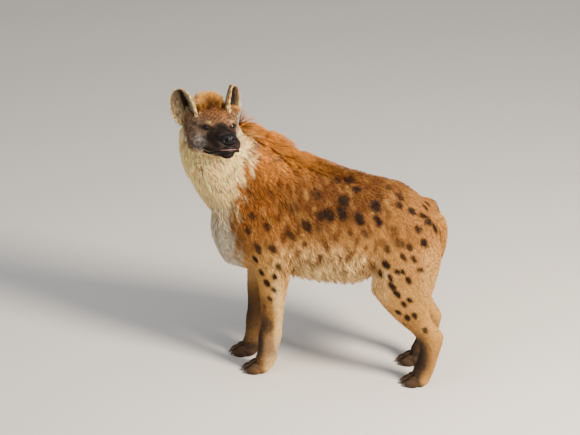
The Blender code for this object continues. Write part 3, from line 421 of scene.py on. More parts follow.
# Length of the hair round places: middle, reach, length. The first value is the rest of the body's.
SHORT_COAT = 0.018
BODY_LENGTHS = (
    ((0.24, 0.0, 0.52), (0.16, 0.4, 0.18), 0.014),
    ((-0.25, 0.0, 0.30), (0.16, 0.4, 0.20), 0.012),
    ((-0.28, 0.0, 0.10), (0.20, 0.4, 0.16), 0.009),
    ((0.25, 0.0, 0.30), (0.18, 0.4, 0.16), 0.012),
    ((0.28, 0.0, 0.12), (0.20, 0.4, 0.14), 0.009),
    ((-0.30, 0.0, 0.01), (0.50, 0.4, 0.06), 0.0045),
    ((0.28, 0.0, 0.01), (0.30, 0.4, 0.06), 0.0045),
    ((-0.02, 0.0, 0.43), (0.18, 0.4, 0.09), 0.034),
    ((-0.45, 0.0, 0.74), (0.12, 0.3, 0.20), 0.034),
    ((-0.28, 0.0, 0.72), (0.14, 0.3, 0.14), 0.026),
    ((-0.33, 0.0, 0.88), (0.14, 0.3, 0.07), 0.034),
)
HEAD_LENGTHS = (
    ((0.10, 0.0, -0.04), (0.08, 0.2, 0.10), 0.0040),
    ((0.04, 0.0, 0.00), (0.05, 0.2, 0.05), 0.0060),
    ((-0.08, 0.0, -0.07), (0.07, 0.2, 0.06), 0.028),
    ((-0.13, 0.0, 0.06), (0.05, 0.2, 0.04), 0.018),
)
FACE_COAT = 0.010
PAW_COAT = 0.0045
PAW_TOP = 0.070
ANKLE_ROWS = 4

# Mane: its line over the back from the nape, half breadth, and hair length at stations
MANE_LINE = ((-0.385, -0.350, -0.300, -0.240, -0.170), (0.024, 0.020, 0.012, 0.004, 0.0))
MANE_HALF = 0.042
MANE_LENGTHS = ((-0.40, -0.20, -0.05, 0.06), (0.060, 0.054, 0.036, 0.022))
# Crest between the ears, in head axes: middle and half sizes of its bed, and its height
CREST_BED = ((-0.102, 0.0, 0.080), (0.026, 0.066, 0.045))
CREST_LENGTH = 0.044
# Ruff on the throat and fringe on the lower flank: middle and half sizes of the bed, and length
RUFF_BED = ((-0.50, 0.0, 0.81), (0.13, 0.085, 0.080))
RUFF_LENGTH = 0.050
FRINGE_BED = ((-0.030, 0.0, 0.400), (0.155, 0.4, 0.042))
FRINGE_LENGTH = 0.066
# Side of the patch that a tuft has in the OFBake map
TUFT_PATCH = 0.003

# Parts of the coat: tufts, slot, seed, how far the tufts gather, tufts to a lock, rings of a tuft, its breadth for
# its length, and how far its shade strays
COATS = {
    "coat_foreleg_left": (8000, "coat_tawny", 8007, 0.45, 7, 2, 0.085, 0.17),
    "coat_hindleg_left": (12000, "coat_tawny", 12007, 0.45, 7, 2, 0.085, 0.17),
    "coat_trunk_left": (18500, "coat_tawny", 44, 0.45, 7, 2, 0.085, 0.17),
    "coat_foreleg_right": (5000, "coat_tawny", 5007, 0.45, 7, 2, 0.085, 0.17),
    "coat_hindleg_right": (7000, "coat_tawny", 7007, 0.45, 7, 2, 0.085, 0.17),
    "coat_trunk_right": (9500, "coat_tawny", 45, 0.45, 7, 2, 0.085, 0.17),
    "coat_neck": (15500, "coat_rufous", 51, 0.35, 7, 2, 0.085, 0.17),
    "coat_mane": (6000, "coat_rufous", 53, 0.40, 9, 3, 0.028, 0.17),
    "coat_ruff": (3500, "coat_rufous", 55, 0.45, 9, 3, 0.030, 0.17),
    "coat_fringe": (5000, "coat_tawny", 57, 0.65, 12, 3, 0.032, 0.17),
    "coat_tail": (3000, "coat_dark", 61, 0.45, 7, 3, 0.045, 0.17),
    "coat_forepaw_left": (2200, "coat_dark", 65, 0.20, 7, 2, 0.220, 0.25),
    "coat_forepaw_right": (2200, "coat_dark", 66, 0.20, 7, 2, 0.220, 0.25),
    "coat_hindpaw_left": (2200, "coat_dark", 67, 0.20, 7, 2, 0.220, 0.25),
    "coat_hindpaw_right": (2200, "coat_dark", 68, 0.20, 7, 2, 0.220, 0.25),
    "coat_face": (16000, "coat_face", 71, 0.30, 7, 2, 0.150, 0.32),
    "coat_crown": (10500, "coat_face", 73, 0.45, 7, 2, 0.085, 0.28),
    "coat_crest": (3500, "coat_face", 75, 0.15, 10, 3, 0.030, 0.26),
    "coat_ear_left": (4500, "coat_face", 81, 0.20, 7, 2, 0.120, 0.32),
    "coat_ear_right": (4500, "coat_face", 79, 0.20, 7, 2, 0.120, 0.32),
}


def lerp(a, b, share):
    return a + (b - a) * share


def head_matrix():
    """Head axes to body axes."""
    face_ahead = Matrix.Rotation(math.pi, 4, "Z")
    turn = Matrix.Rotation(math.radians(HEAD_TURN), 4, "Z")
    pitch = Matrix.Rotation(-math.radians(HEAD_PITCH), 4, "Y")
    roll = Matrix.Rotation(math.radians(HEAD_ROLL), 4, "X")
    return Matrix.Translation(HEAD_PLACE) @ turn @ face_ahead @ pitch @ roll @ Matrix.Scale(HEAD_SIZE, 4)


HEAD = head_matrix()
eye_low, eye_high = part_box("eye_left")
SLIDE = (Vector(eye_low) + Vector(eye_high)) / 2 - HEAD @ Vector(EYE_PLACE)
TO_ROW = Matrix.Translation(SLIDE)
HEAD_WAYS = np.array(HEAD.to_3x3())


def moved(points, matrix):
    matrix = np.array(matrix)
    return points @ matrix[:3, :3].T + matrix[:3, 3]


def in_head(points):
    return moved(points, HEAD.inverted())


def sided(place, side):
    return (place[0], place[1] * side, place[2])


def resample(rows, count):
    """The rows as a smooth curve through them, read at count even steps."""
    rows = np.array(rows, float)
    steps = np.linalg.norm(np.diff(rows[:, :3], axis=0), axis=1)
    along = np.concatenate([[0.0], np.cumsum(steps)])
    slopes = np.gradient(rows, along, axis=0)
    reads = np.linspace(0.0, along[-1], count)
    seat = np.clip(np.searchsorted(along, reads) - 1, 0, len(rows) - 2)
    width = (along[seat + 1] - along[seat])[:, None]
    t = (reads - along[seat])[:, None] / width
    ahead = t * t * (3 - 2 * t)
    return (
        rows[seat] * (1 - ahead)
        + rows[seat + 1] * ahead
        + slopes[seat] * width * t * (1 - t) ** 2
        + slopes[seat + 1] * width * t * t * (t - 1)
    )


def placed(name, data):
    made = bpy.data.objects.new(name, data)
    bpy.context.scene.collection.objects.link(made)
    return made


def mesh_object(name, points, faces):
    mesh = bpy.data.meshes.new(name)
    mesh.from_pydata([tuple(p) for p in points], [], faces)
    mesh.shade_smooth()
    return placed(name, mesh)


def faces_between(rings, sides):
    """Four-sided faces from each ring of points to the next."""
    steps = [(j, (j + 1) % sides) for j in range(sides)]
    return [(i + j, i + k, i + sides + k, i + sides + j)
            for i in range(0, (rings - 1) * sides, sides) for j, k in steps]


def ring_object(name, rings):
    """A closed form over rings of points that follow one another."""
    rings = np.array(rings)
    count, sides = rings.shape[:2]
    faces = faces_between(count, sides)
    faces.append(tuple(range(sides))[::-1])
    faces.append(tuple(range((count - 1) * sides, count * sides)))
    made = mesh_object(name, rings.reshape(-1, 3), faces)
    form = bmesh.new()
    form.from_mesh(made.data)
    bmesh.ops.recalc_face_normals(form, faces=form.faces)
    form.to_mesh(made.data)
    form.free()
    return made


def round_ring(middle, across, up, half_across, half_up, squareness=2.2, sides=32):
    turns = np.arange(sides) * 2 * math.pi / sides
    c, s = np.cos(turns), np.sin(turns)
    share = 2.0 / squareness
    wide = np.sign(c) * np.abs(c) ** share * half_across
    tall = np.sign(s) * np.abs(s) ** share * half_up
    return np.array(middle) + wide[:, None] * np.array(across) + tall[:, None] * np.array(up)


def upright_sections(name, rows, count, squareness):
    rows = resample([(x, 0, (top + low) / 2, half, (top - low) / 2) for x, top, low, half in rows], count)
    return ring_object(name, [round_ring(r[:3], (0, 1, 0), (0, 0, 1), r[3], r[4], squareness) for r in rows])


def level_sections(name, rows):
    return ring_object(name, [round_ring(r[:3], (0, 1, 0), (1, 0, 0), r[3], r[4]) for r in resample(rows, 60)])


def bent_tube(name, rows, count, across=(0, 1, 0), sides=28):
    rows = resample(rows, count)
    rings = []
    for row, way in zip(rows, np.gradient(rows[:, :3], axis=0)):
        way = Vector(way).normalized()
        side = (Vector(across) - way * way.dot(Vector(across))).normalized()
        rings.append(round_ring(row[:3], side, way.cross(side), row[3], row[4], 2.1, sides))
    return ring_object(name, rings)


def egg(name, middle, half_sizes, detail=4):
    form = bmesh.new()
    bmesh.ops.create_icosphere(form, subdivisions=detail, radius=1.0)
    mesh = bpy.data.meshes.new(name)
    form.to_mesh(mesh)
    form.free()
    mesh.transform(Matrix.Diagonal((*half_sizes, 1.0)))
    mesh.transform(Matrix.Translation(middle))
    mesh.shade_smooth()
    return placed(name, mesh)


def fuse(name, forms, voxel, smoothing):
    """One smooth closed form over the forms, which it uses up."""
    form = bmesh.new()
    for part in forms:
        form.from_mesh(part.data)
        bpy.data.objects.remove(part)
    mesh = bpy.data.meshes.new(name)
    form.to_mesh(mesh)
    form.free()
    made = placed(name, mesh)
    remesh = made.modifiers.new("remesh", "REMESH")
    remesh.mode = "VOXEL"
    remesh.voxel_size = voxel
    smooth = made.modifiers.new("smooth", "SMOOTH")
    smooth.factor = 0.5
    smooth.iterations = smoothing
    graph = bpy.context.evaluated_depsgraph_get()
    mesh = bpy.data.meshes.new_from_object(made.evaluated_get(graph))
    made.modifiers.clear()
    made.data = mesh
    mesh.shade_smooth()
    return made


def read_off(values, key):
    read = np.empty(len(values) * 3, np.float32)
    values.foreach_get(key, read)
    return read.reshape(-1, 3).astype(float)


def points_of(mesh):
    return read_off(mesh.vertices, "co")


def normals_of(mesh):
    return read_off(mesh.vertex_normals, "vector")


def put_points(mesh, points):
    mesh.vertices.foreach_set("co", points.astype(np.float32).ravel())
    mesh.update()


def unit(ways):
    return ways / np.maximum(np.linalg.norm(ways, axis=-1, keepdims=True), 1e-9)


def wave_noise(points, size, seed):
    """Smooth noise from 0 to 1 over points, the sum of waves in seeded directions."""
    chance = np.random.default_rng(seed)
    total = np.zeros(len(points))
    for turn in range(9):
        way = unit(chance.normal(size=3)) * chance.uniform(0.6, 1.6)
        total += np.sin(points @ way * (2 * math.pi / size) + chance.uniform(0, 2 * math.pi))
    return np.clip(0.5 + total / 8.0, 0.0, 1.0)


def patch_share(points, middle, half_sizes, soft=0.45):
    """1 inside an egg-shaped area, falling softly to 0 outside it."""
    reach = np.linalg.norm((points - np.array(middle)) / np.array(half_sizes), axis=1)
    t = np.clip((1.0 + soft - reach) / (2 * soft), 0.0, 1.0)
    return t * t * (3 - 2 * t)


def tinted(colours, colour, share):
    return lerp(colours, np.array(colour), share[:, None])


def laid_over(colours, points, tints):
    for middle, half_sizes, colour, strength in tints:
        colours = tinted(colours, colour, patch_share(points, middle, half_sizes) * strength)
    return colours


def mirrored(points):
    """Points of both sides of the head as points of its left side."""
    return points * (1, 0, 1) + np.abs(points) * (0, 1, 0)


def spotted(colours, points):
    """Soft dark spots drawn out along the lie of the coat."""
    wander = np.stack([wave_noise(points, 0.045, seed) for seed in (5, 6, 7)], axis=1) - 0.5
    near = points + 0.007 * wander
    chance = np.random.default_rng(12)
    for x, y, z, size, dark in SPOTS:
        shift = chance.uniform(-0.018, 0.018, 3) * (1, 0, 1)
        for side in (-1, 1):
            off = near * (1, -side, 1) - np.array((x, y, z)) - (shift if side > 0 else 0)
            along = off @ SPOT_LIE
            across = off - along[:, None] * SPOT_LIE
            reach = np.sqrt((along / (size * 1.45)) ** 2 + np.sum(across ** 2, axis=1) / (size * 0.92) ** 2)
            share = np.clip((1.3 - reach) / 0.6, 0, 1) * min(1.0, dark * 1.15)
            colours = tinted(colours, SPOT, share)
    return colours


def pale_front(colours, points):
    """The cream front of the neck, which turns grey-white on the chest and on the right: partly its own colour,
    partly painted shade on the sides turned from the light.
    """
    right = np.clip((points[:, 1] - 0.02) / 0.06, 0, 1)
    edge = np.interp(points[:, 2], *PALE_FRONT) + (wave_noise(points, 0.04, 15) - 0.5) * 0.045 - right * 0.065
    share = np.clip((edge - points[:, 0]) / 0.035 + 0.5, 0, 1) * np.clip((points[:, 2] - 0.34) / 0.04, 0, 1)
    low = np.clip((0.66 - points[:, 2]) / 0.12, 0, 1)
    # grey-white on the chest and the right side: partly its own colour, partly painted shade
    tone = tinted(np.array(CREAM), PALE_ASH, np.maximum(low * 0.8, right * 0.6))
    streaks = np.clip(wave_noise(points * (1, 1, 0.4), 0.03, 16) - 0.6, 0, 1) * low
    return tinted(colours, tinted(tone, ASH, streaks), share)


def body_colours(points):
    colours = laid_over(np.tile(SANDY, (len(points), 1)), points, BODY_TINTS)
    colours = laid_over(pale_front(colours, points), points, NAPE_TINTS + LEG_TINTS)
    streak = wave_noise(points * (0.9, 1.0, 0.45), 0.030, 8)
    flank = patch_share(points, (-0.05, 0.0, 0.60), (0.30, 0.3, 0.22))
    colours = tinted(colours, UMBER, np.clip(streak - 0.50, 0, 0.4) * flank * 2.2)
    colours = tinted(colours, GOLDEN, np.clip(0.40 - streak, 0, 0.4) * flank * 0.9)
    belly = patch_share(points, (0.0, 0.0, 0.43), (0.22, 0.3, 0.09))
    colours = tinted(colours, CREAM, np.clip(0.45 - streak, 0, 1) * belly * 1.8)
    return spotted(colours, points)


def tail_colours(points):
    return laid_over(np.tile(SANDY, (len(points), 1)), points, TAIL_TINTS)


def head_colours(points):
    local = in_head(points)
    colours = laid_over(np.tile(FACE_BROWN, (len(points), 1)), mirrored(local), FACE_TINTS)
    # painted light on the left cheek only
    colours = laid_over(colours, local, LEFT_CHEEK_PAINTED_LIGHT)
    return colours * (1.45 - 1.0 * wave_noise(points * (1.0, 1.0, 0.6), 0.011, 18))[:, None]


def field_lengths(points, rows, rest):
    lengths = np.full(len(points), rest)
    for middle, reach, length in rows:
        share = patch_share(points, middle, reach, 0.35)
        lengths = lerp(lengths, length, share)
    return lengths


def body_lengths(points):
    return field_lengths(points, BODY_LENGTHS, SHORT_COAT)


def head_lengths(points):
    return field_lengths(mirrored(in_head(points)), HEAD_LENGTHS, FACE_COAT)


def field_lie(points, rows, reach):
    """The way the hair points, blended from the rows nearest to each place."""
    ways = np.zeros((len(points), 3))
    for place, way in rows:
        for side in (1, -1):
            off = points - np.array(sided(place, side))
            share = np.exp(-np.sum(off * off, axis=1) / (2 * reach * reach))
            ways += share[:, None] * unit(np.array(sided(way, side), float))
    return unit(ways)


def body_lie(points):
    return field_lie(points, BODY_LIE, 0.06)


def head_lie(points):
    return unit(field_lie(in_head(points), HEAD_LIE, 0.028) @ HEAD_WAYS.T)


class Hide:
    """The triangles of a skin, for rooting tufts on it."""

    def __init__(self, mesh):
        mesh.calc_loop_triangles()
        count = len(mesh.loop_triangles)
        corners = np.empty(count * 3, np.int32)
        mesh.loop_triangles.foreach_get("vertices", corners)
        self.corners = corners.reshape(-1, 3)
        self.points = points_of(mesh)
        self.normals = normals_of(mesh)
        a, b, c = (self.points[self.corners[:, i]] for i in range(3))
        self.areas = np.linalg.norm(np.cross(b - a, c - a), axis=1) / 2
        self.middles = (a + b + c) / 3

    def roots(self, count, density, chance):
        """Places and normals of count roots, spread by area times density."""
        share = self.areas * density
        picks = chance.choice(len(share), size=count, p=share / share.sum())
        u, v = np.sqrt(chance.random(count)), chance.random(count)
        weights = np.stack([1 - u, u * (1 - v), u * v], axis=1)[:, :, None]
        places = (self.points[self.corners[picks]] * weights).sum(axis=1)
        normals = unit((self.normals[self.corners[picks]] * weights).sum(axis=1))
        return places, normals


def gathered(roots, tips, share, every, chance):
    """Draws the tips of neighbouring tufts together, so that they lie in locks."""
    leaders = chance.choice(len(roots), size=max(1, len(roots) // every), replace=False)
    tree = KDTree(len(leaders))
    for i, leader in enumerate(leaders):
        tree.insert(roots[leader], i)
    tree.balance()
    nearest = np.array([leaders[tree.find(root)[1]] for root in roots])
    own = tips - roots
    led = roots[nearest] + own[nearest] - roots
    return own + (led - own) * share, nearest


def coat_object(name, roots, normals, ways, lengths, widths, lift, droop, colours, unwrapped, rings, chance,
                gather, every, mottle):
    """A coat of solid tapered tufts, each rooted in the skin and bending along its lie."""
    count = len(roots)
    ways = unit(ways - normals * np.sum(ways * normals, axis=1, keepdims=True))
    sides = unit(np.cross(ways, normals))
    turn = (wave_noise(roots, 0.05, 21) - 0.5) * 0.7 + chance.normal(0, 0.12, count)
    ways = unit(ways + sides * turn[:, None])
    sides = unit(np.cross(ways, normals))
    lengths = lengths * chance.uniform(0.75, 1.2, count)
    reach = ways + normals * lift[:, None] + np.array((0, 0, -1.0)) * droop[:, None]
    tips = roots + unit(reach) * lengths[:, None]
    bend, nearest = gathered(roots, tips, gather, every, chance)
    shade = chance.normal(1.0, mottle, count) + chance.normal(0, mottle, count)[nearest]
    steps = [i / rings for i in range(rings)]
    shares = [math.sqrt(1 - t) * (0.75 if t == 0 else 1.0) for t in steps]
    points = []
    for t, share in zip(steps, shares):
        rise = normals * (lengths * np.minimum(lift, 0.5) * 0.5 * math.sin(math.pi * t))[:, None]
        middle = roots + bend * t + rise - normals * (0.0022 * (1 - t))
        half = (widths * share / 2)[:, None]
        points += [middle + sides * half, middle - sides * half, middle + normals * half * 0.7]
    points.append(roots + bend)
    each = len(points)
    cloud = np.stack(points, axis=1).reshape(-1, 3)
    cloud[:, 2] = np.maximum(cloud[:, 2], FLOOR_CLEAR)

    quads, tris = [], [(0, 2, 1)]
    for ring in range(rings - 1):
        a, b = ring * 3, ring * 3 + 3
        quads += [(a + i, a + (i + 1) % 3, b + (i + 1) % 3, b + i) for i in range(3)]
    last, tip = (rings - 1) * 3, each - 1
    tris += [(last + i, last + (i + 1) % 3, tip) for i in range(3)]
    start = np.arange(count)[:, None] * each
    loops = np.concatenate([
        (start + np.array(quads).ravel()[None, :]) if quads else np.empty((count, 0), int),
        start + np.array(tris).ravel()[None, :],
    ], axis=1).ravel()
    sizes = np.tile(np.array([4] * len(quads) + [3] * len(tris)), count)

    mesh = bpy.data.meshes.new(name)
    mesh.vertices.add(len(cloud))
    mesh.vertices.foreach_set("co", moved(cloud, TO_ROW).astype(np.float32).ravel())
    mesh.loops.add(len(loops))
    mesh.loops.foreach_set("vertex_index", loops.astype(np.int32))
    mesh.polygons.add(len(sizes))
    mesh.polygons.foreach_set("loop_start", np.concatenate([[0], np.cumsum(sizes)[:-1]]).astype(np.int32))
    mesh.update(calc_edges=True)

    tone = np.clip(colours * np.clip(shade, 0.45, 1.6)[:, None], 0, 1)
    add_tone(mesh, np.repeat(tone, each, axis=0))
    along = mesh.attributes.new("along", "FLOAT", "POINT")
    steps = np.array([t for t in steps for i in range(3)] + [1.0])
    along.data.foreach_set("value", np.tile(steps, count).astype(np.float32))

    spread = np.array([(i % 3) / 2 for i in range(each - 1)] + [0.5])
    flat = unwrapped[:, None, :] + TUFT_PATCH * (np.stack([spread, steps], axis=1) - 0.5)[None, :, :]
    layer = mesh.uv_layers.new(name="OFBake")
    layer.data.foreach_set("uv", flat.reshape(-1, 2)[loops].astype(np.float32).ravel())
    mesh.shade_smooth()
    return placed(name, mesh)


def add_tone(mesh, colours):
    tones = mesh.attributes.new("tone", "FLOAT_COLOR", "POINT")
    full = np.concatenate([colours, np.ones((len(colours), 1))], axis=1)
    tones.data.foreach_set("color", full.astype(np.float32).ravel())


class Value:
    """One output of a shader node, for sums written as they are read."""

    def __init__(self, look, socket):
        self.look = look
        self.socket = socket

    def sum(self, operation, *terms):
        return self.look.node("ShaderNodeMath", {"operation": operation}, dict(enumerate(terms)))

    def __add__(self, other):
        return self.sum("ADD", self, other)

    __radd__ = __add__

    def __mul__(self, other):
        return self.sum("MULTIPLY", self, other)

    def __sub__(self, other):
        return self.sum("SUBTRACT", self, other)


class Look:
    """A material on one Principled surface."""

    def __init__(self, name, colour, roughness, **settings):
        self.material = bpy.data.materials.new(name)
        self.material.use_nodes = True
        self.tree = self.material.node_tree
        self.surface = self.tree.nodes["Principled BSDF"]
        self.feed("Base Color", (*colour, 1.0))
        self.feed("Roughness", roughness)
        for socket, value in settings.items():
            self.feed(socket.replace("_", " "), value)

    def feed(self, socket, value):
        self.put(self.surface.inputs[socket], value)

    def put(self, socket, value):
        if isinstance(value, Value):
            self.tree.links.new(value.socket, socket)
        else:
            socket.default_value = value

    def node(self, kind, settings, inputs, output=0):
        made = self.tree.nodes.new(kind)
        for name, setting in settings.items():
            setattr(made, name, setting)
        for name, value in inputs.items():
            self.put(made.inputs[name], value)
        return Value(self, made.outputs[output])

    def noise(self, scale, detail=3.0):
        place = self.node("ShaderNodeTexCoord", {}, {}, "Object")
        return self.node("ShaderNodeTexNoise", {}, {"Vector": place, "Scale": scale, "Detail": detail}, "Fac")

    def mixed(self, share, first, second, way="MIX"):
        settings = {"data_type": "RGBA", "blend_type": way}
        return self.node("ShaderNodeMix", settings, {0: share, 6: first, 7: second}, 2)

    def bump(self, height, strength, distance):
        inputs = {"Height": height, "Strength": strength, "Distance": distance}
        return self.node("ShaderNodeBump", {}, inputs, "Normal")

    def attribute(self, name, output):
        return self.node("ShaderNodeAttribute", {"attribute_name": name}, {}, output)


def coat_look():
    """Hair: the coat's own tone, darker at the root as painted shade deep in the coat, and paler at the tip."""
    look = Look("coat_hair", SANDY, 0.66, Specular_IOR_Level=0.10)
    along = look.attribute("along", "Fac")
    tone = look.attribute("tone", "Color")
    # level: painted shade towards the root, lighter to the tip, with a random grain
    level = 0.78 + along * 0.35 + (look.noise(90.0) - 0.5) * 0.22
    look.feed("Base Color", look.mixed(1.0, tone, look.node(
        "ShaderNodeCombineColor", {}, {"Red": level, "Green": level, "Blue": level}), "MULTIPLY"))
    return look.material


def skin_look():
    """Skin under the hair, with the same markings darkened as painted shade in the gaps between the tufts."""
    look = Look("skin_under_coat", SANDY, 0.8, Specular_IOR_Level=0.15)
    tone = look.attribute("tone", "Color")
    # the markings darkened to 0.62: painted shade between the tufts
    look.feed("Base Color", look.mixed(1.0, tone, (0.62, 0.62, 0.62, 1.0), "MULTIPLY"))
    look.feed("Normal", look.bump(look.noise(160.0, 4.0), 0.5, 0.004))
    return look.material


def grained_look(name, colour, roughness, grain, **settings):
    """One colour with a grain pressed in, of a scale, detail, strength and depth."""
    look = Look(name, colour, roughness, **settings)
    scale, detail, strength, depth = grain
    look.feed("Normal", look.bump(look.noise(scale, detail), strength, depth))
    return look.material


def eye_look():
    """Dark brown eye with a darker pupil."""
    look = Look("eye_wet", (0.020, 0.009, 0.005), 0.12, Specular_IOR_Level=0.3, Coat_Weight=0.3, Coat_Roughness=0.02)
    ring = look.attribute("ring", "Fac")
    pupil = look.node("ShaderNodeMath", {"operation": "LESS_THAN"}, {0: ring, 1: 0.36})
    look.feed("Base Color", look.mixed(pupil, (0.030, 0.012, 0.006, 1.0), (0.002, 0.002, 0.002, 1.0)))
    return look.material


def claw_look():
    look = Look("claw_horn", (0.060, 0.042, 0.030), 0.38)
    tone = look.noise(140.0)
    look.feed("Base Color", look.mixed(tone, (0.030, 0.021, 0.016, 1.0), (0.120, 0.088, 0.062, 1.0)))
    return look.material


def finish(made, material, slot, *nodes):
    """Dresses a piece, lets it ride on the root and, where it stands for solids, hides them."""
    made.data.materials.clear()
    made.data.materials.append(material)
    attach(made, "root")
    if nodes:
        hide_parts(*nodes)


def to_row(made):
    made.data.transform(TO_ROW)
    return made


def finish_on_head(made, material, slot, *nodes):
    made.data.transform(HEAD)
    finish(to_row(made), material, slot, *nodes)


def head_forms():
    forms = [upright_sections("skull", SKULL_ROWS, 40, 2.2)]
    forms += [egg("crown", *CROWN), egg("chin", *CHIN)]
    for side in (1, -1):
        forms += [egg("mass", sided(middle, side), sizes) for middle, sizes in FACE_MASSES]
    for form in forms:
        form.data.transform(HEAD)
    return forms


def paw_place(name):
    (x, y), turn = PAWS[name]
    return Matrix.Translation((x, y, 0.0)) @ Matrix.Rotation(math.radians(turn), 4, "Z")


def paw_forms(name):
    forms = [egg("pad", (-0.012, 0.0, 0.024), (0.042, 0.036, 0.028))]
    for across, reach in zip(TOE_SPREAD, TOE_REACH):
        forms.append(egg("toe", (-reach, across, TOE_SIZE[2] - 0.001), TOE_SIZE, 3))
        forms.append(egg("knuckle", (-reach + 0.030, across * 0.85, 0.026), (0.026, 0.0125, 0.018), 3))
    for form in forms:
        form.data.transform(paw_place(name))
    return forms


def coat_depth(lengths):
    """How far the skin lies under the outline of the coat."""
    return np.clip(0.17 * lengths, 0.0010, 0.0060)


def body_skin():
    forms = [upright_sections("trunk", TRUNK_ROWS, 50, 2.25), bent_tube("neck_core", NECK_ROWS, 30)]
    forms += [level_sections("leg", rows) for rows in LEGS.values()]
    forms += [bent_tube("mane_core", MANE_ROWS, 30), bent_tube("tail", TAIL_ROWS, 30)]
    made = fuse("skin_body", forms, 0.0055, 14)
    points = points_of(made.data)
    depth = coat_depth(body_lengths(points)) + 0.004 * np.clip((PAW_TOP - points[:, 2]) / 0.02, 0, 1)
    points -= normals_of(made.data) * depth[:, None]
    points[:, 2] = np.maximum(points[:, 2], SOLE_HEIGHT)
    put_points(made.data, points)
    add_tone(made.data, tinted(body_colours(points), tail_colours(points), tail_share(points)))
    return made


def paw_skin(paw):
    """A paw with its toes apart and painted shade in the clefts between them, which runs up inside the skin of the
    leg.
    """
    forms = paw_forms(paw) + [level_sections("ankle", LEGS[paw.replace("paw", "leg")][-ANKLE_ROWS:])]
    made = fuse(f"skin_{paw}", forms, 0.0024, 2)
    points = points_of(made.data)
    groove = between_toes(paw, points)
    depth = 0.0012 + 0.003 * np.clip((points[:, 2] - PAW_TOP) / 0.02, 0, 1) + 0.0045 * groove
    points -= normals_of(made.data) * depth[:, None]
    points[:, 2] = np.maximum(points[:, 2], SOLE_HEIGHT)
    put_points(made.data, points)
    # the colour darkened in the clefts between the toes: painted shade
    add_tone(made.data, body_colours(points) * (1 - 0.7 * groove[:, None]))
    return made


def between_toes(paw, points):
    """1 in the clefts between the toes, 0 elsewhere."""
    local = moved(points, paw_place(paw).inverted())
    clefts = (np.array(TOE_SPREAD[1:]) + np.array(TOE_SPREAD[:-1])) / 2
    near = np.min(np.abs(local[:, 1][:, None] - clefts[None, :]), axis=1)
    return np.exp(-(near / 0.0030) ** 2) * np.clip((-0.004 - local[:, 0]) / 0.016, 0, 1)


def tail_share(points):
    """1 on the tail, 0 on the body."""
    near = np.abs(points[:, 1]) < 0.024
    behind = points[:, 0] > np.interp(points[:, 2], (0.36, 0.42, 0.50, 0.60), (0.27, 0.295, 0.322, 0.318))
    return (near & behind & (points[:, 2] > 0.34) & (points[:, 2] < 0.62)).astype(float)


def head_skin():
    """The head with sunk eyes, lids' folds, a line of the mouth and wrinkles beside the nose."""
    made = fuse("skin_head", head_forms() + [bent_tube("neck_end", NECK_ROWS, 30)], 0.0026, 8)
    form = bmesh.new()
    form.from_mesh(made.data)
    back = HEAD.inverted()
    loose = [v for v in form.verts if (back @ v.co).x < HEAD_SHARE - 0.030 or (back @ v.co).z < -0.135]
    bmesh.ops.delete(form, geom=loose, context="VERTS")
    form.to_mesh(made.data)
    form.free()
    points = points_of(made.data)
    normals = normals_of(made.data)
    face = mirrored(in_head(points))
    depth = coat_depth(head_lengths(points))
    around = np.linalg.norm(face - np.array(EYE_PLACE), axis=1)
    depth += 0.0050 * np.exp(-((around - 0.011) / 0.007) ** 2)
    brow = np.linalg.norm((face - np.array((0.000, 0.040, 0.020))) / np.array((0.024, 0.020, 0.009)), axis=1)
    depth -= 0.0030 * np.exp(-brow ** 2)
    line = resample([(*p, 0.0) for p in MOUTH_LINE], 40)[:, :3]
    from_mouth = np.min(np.linalg.norm(face[:, None, :] - line[None, :, :], axis=2), axis=1)
    depth += 0.0045 * np.exp(-(from_mouth / 0.0050) ** 2)
    fold = np.sin((face[:, 0] * 0.8 - face[:, 2]) * 520.0)
    depth += 0.0009 * fold * patch_share(face, (0.080, 0.040, -0.030), (0.030, 0.020, 0.025))
    put_points(made.data, points - normals * depth[:, None])
    add_tone(made.data, head_colours(points))
    return made


def ear_share(t):
    """Half width at a share t of the ear's height, as a share of the broadest."""
    return math.sqrt(max(0.0, 1.0 - ((t - EAR_BROADEST) / (EAR_TIP - EAR_BROADEST)) ** 2))


def ear_skin(name):
    """A round cupped ear: an inner and an outer face that meet at the rim."""
    root, up, face = (Vector(values) for values in EARS[name])
    up = up.normalized()
    face = (face - up * face.dot(up)).normalized()
    across = up.cross(face) * (1 if root.y > 0 else -1)
    rows, columns = 26, 26
    rings = []
    for i in range(rows + 1):
        t = i / rows
        half = EAR_WIDTH / 2 * ear_share(t) * EAR_INSET
        inner, outer = [], []
        for j in range(columns + 1):
            s = -1.0 + 2.0 * j / columns
            cup = EAR_CUP * (s * s) * (0.45 + 0.55 * ear_share(t)) - EAR_CUP * (1 - t) * 0.5
            thick = EAR_THICKNESS * (1.0 - 0.5 * s * s) * (1.0 - 0.45 * t)
            middle = root + up * (EAR_HEIGHT * EAR_INSET * t) + face * (cup + EAR_CURL * t * t)
            middle += across * (half * s * (1 - 0.06 * s * t))
            inner.append(middle)
            outer.append(middle - face * thick)
        rings.append(inner + outer[::-1])
    made = ring_object(f"skin_{name}", rings)
    made.data.transform(HEAD)
    return made, (root, up, face, across)


def ear_places(points, axes):
    """Share of the ear's height, and place across it from -1 to 1."""
    root, up, _, across = axes
    local = in_head(points) - np.array(root)
    t = local @ np.array(up) / EAR_HEIGHT
    half = EAR_WIDTH / 2 * np.sqrt(np.clip(1.0 - ((t - EAR_BROADEST) / (EAR_TIP - EAR_BROADEST)) ** 2, 0.02, 1))
    return t, np.clip(local @ np.array(across) / half, -1, 1)


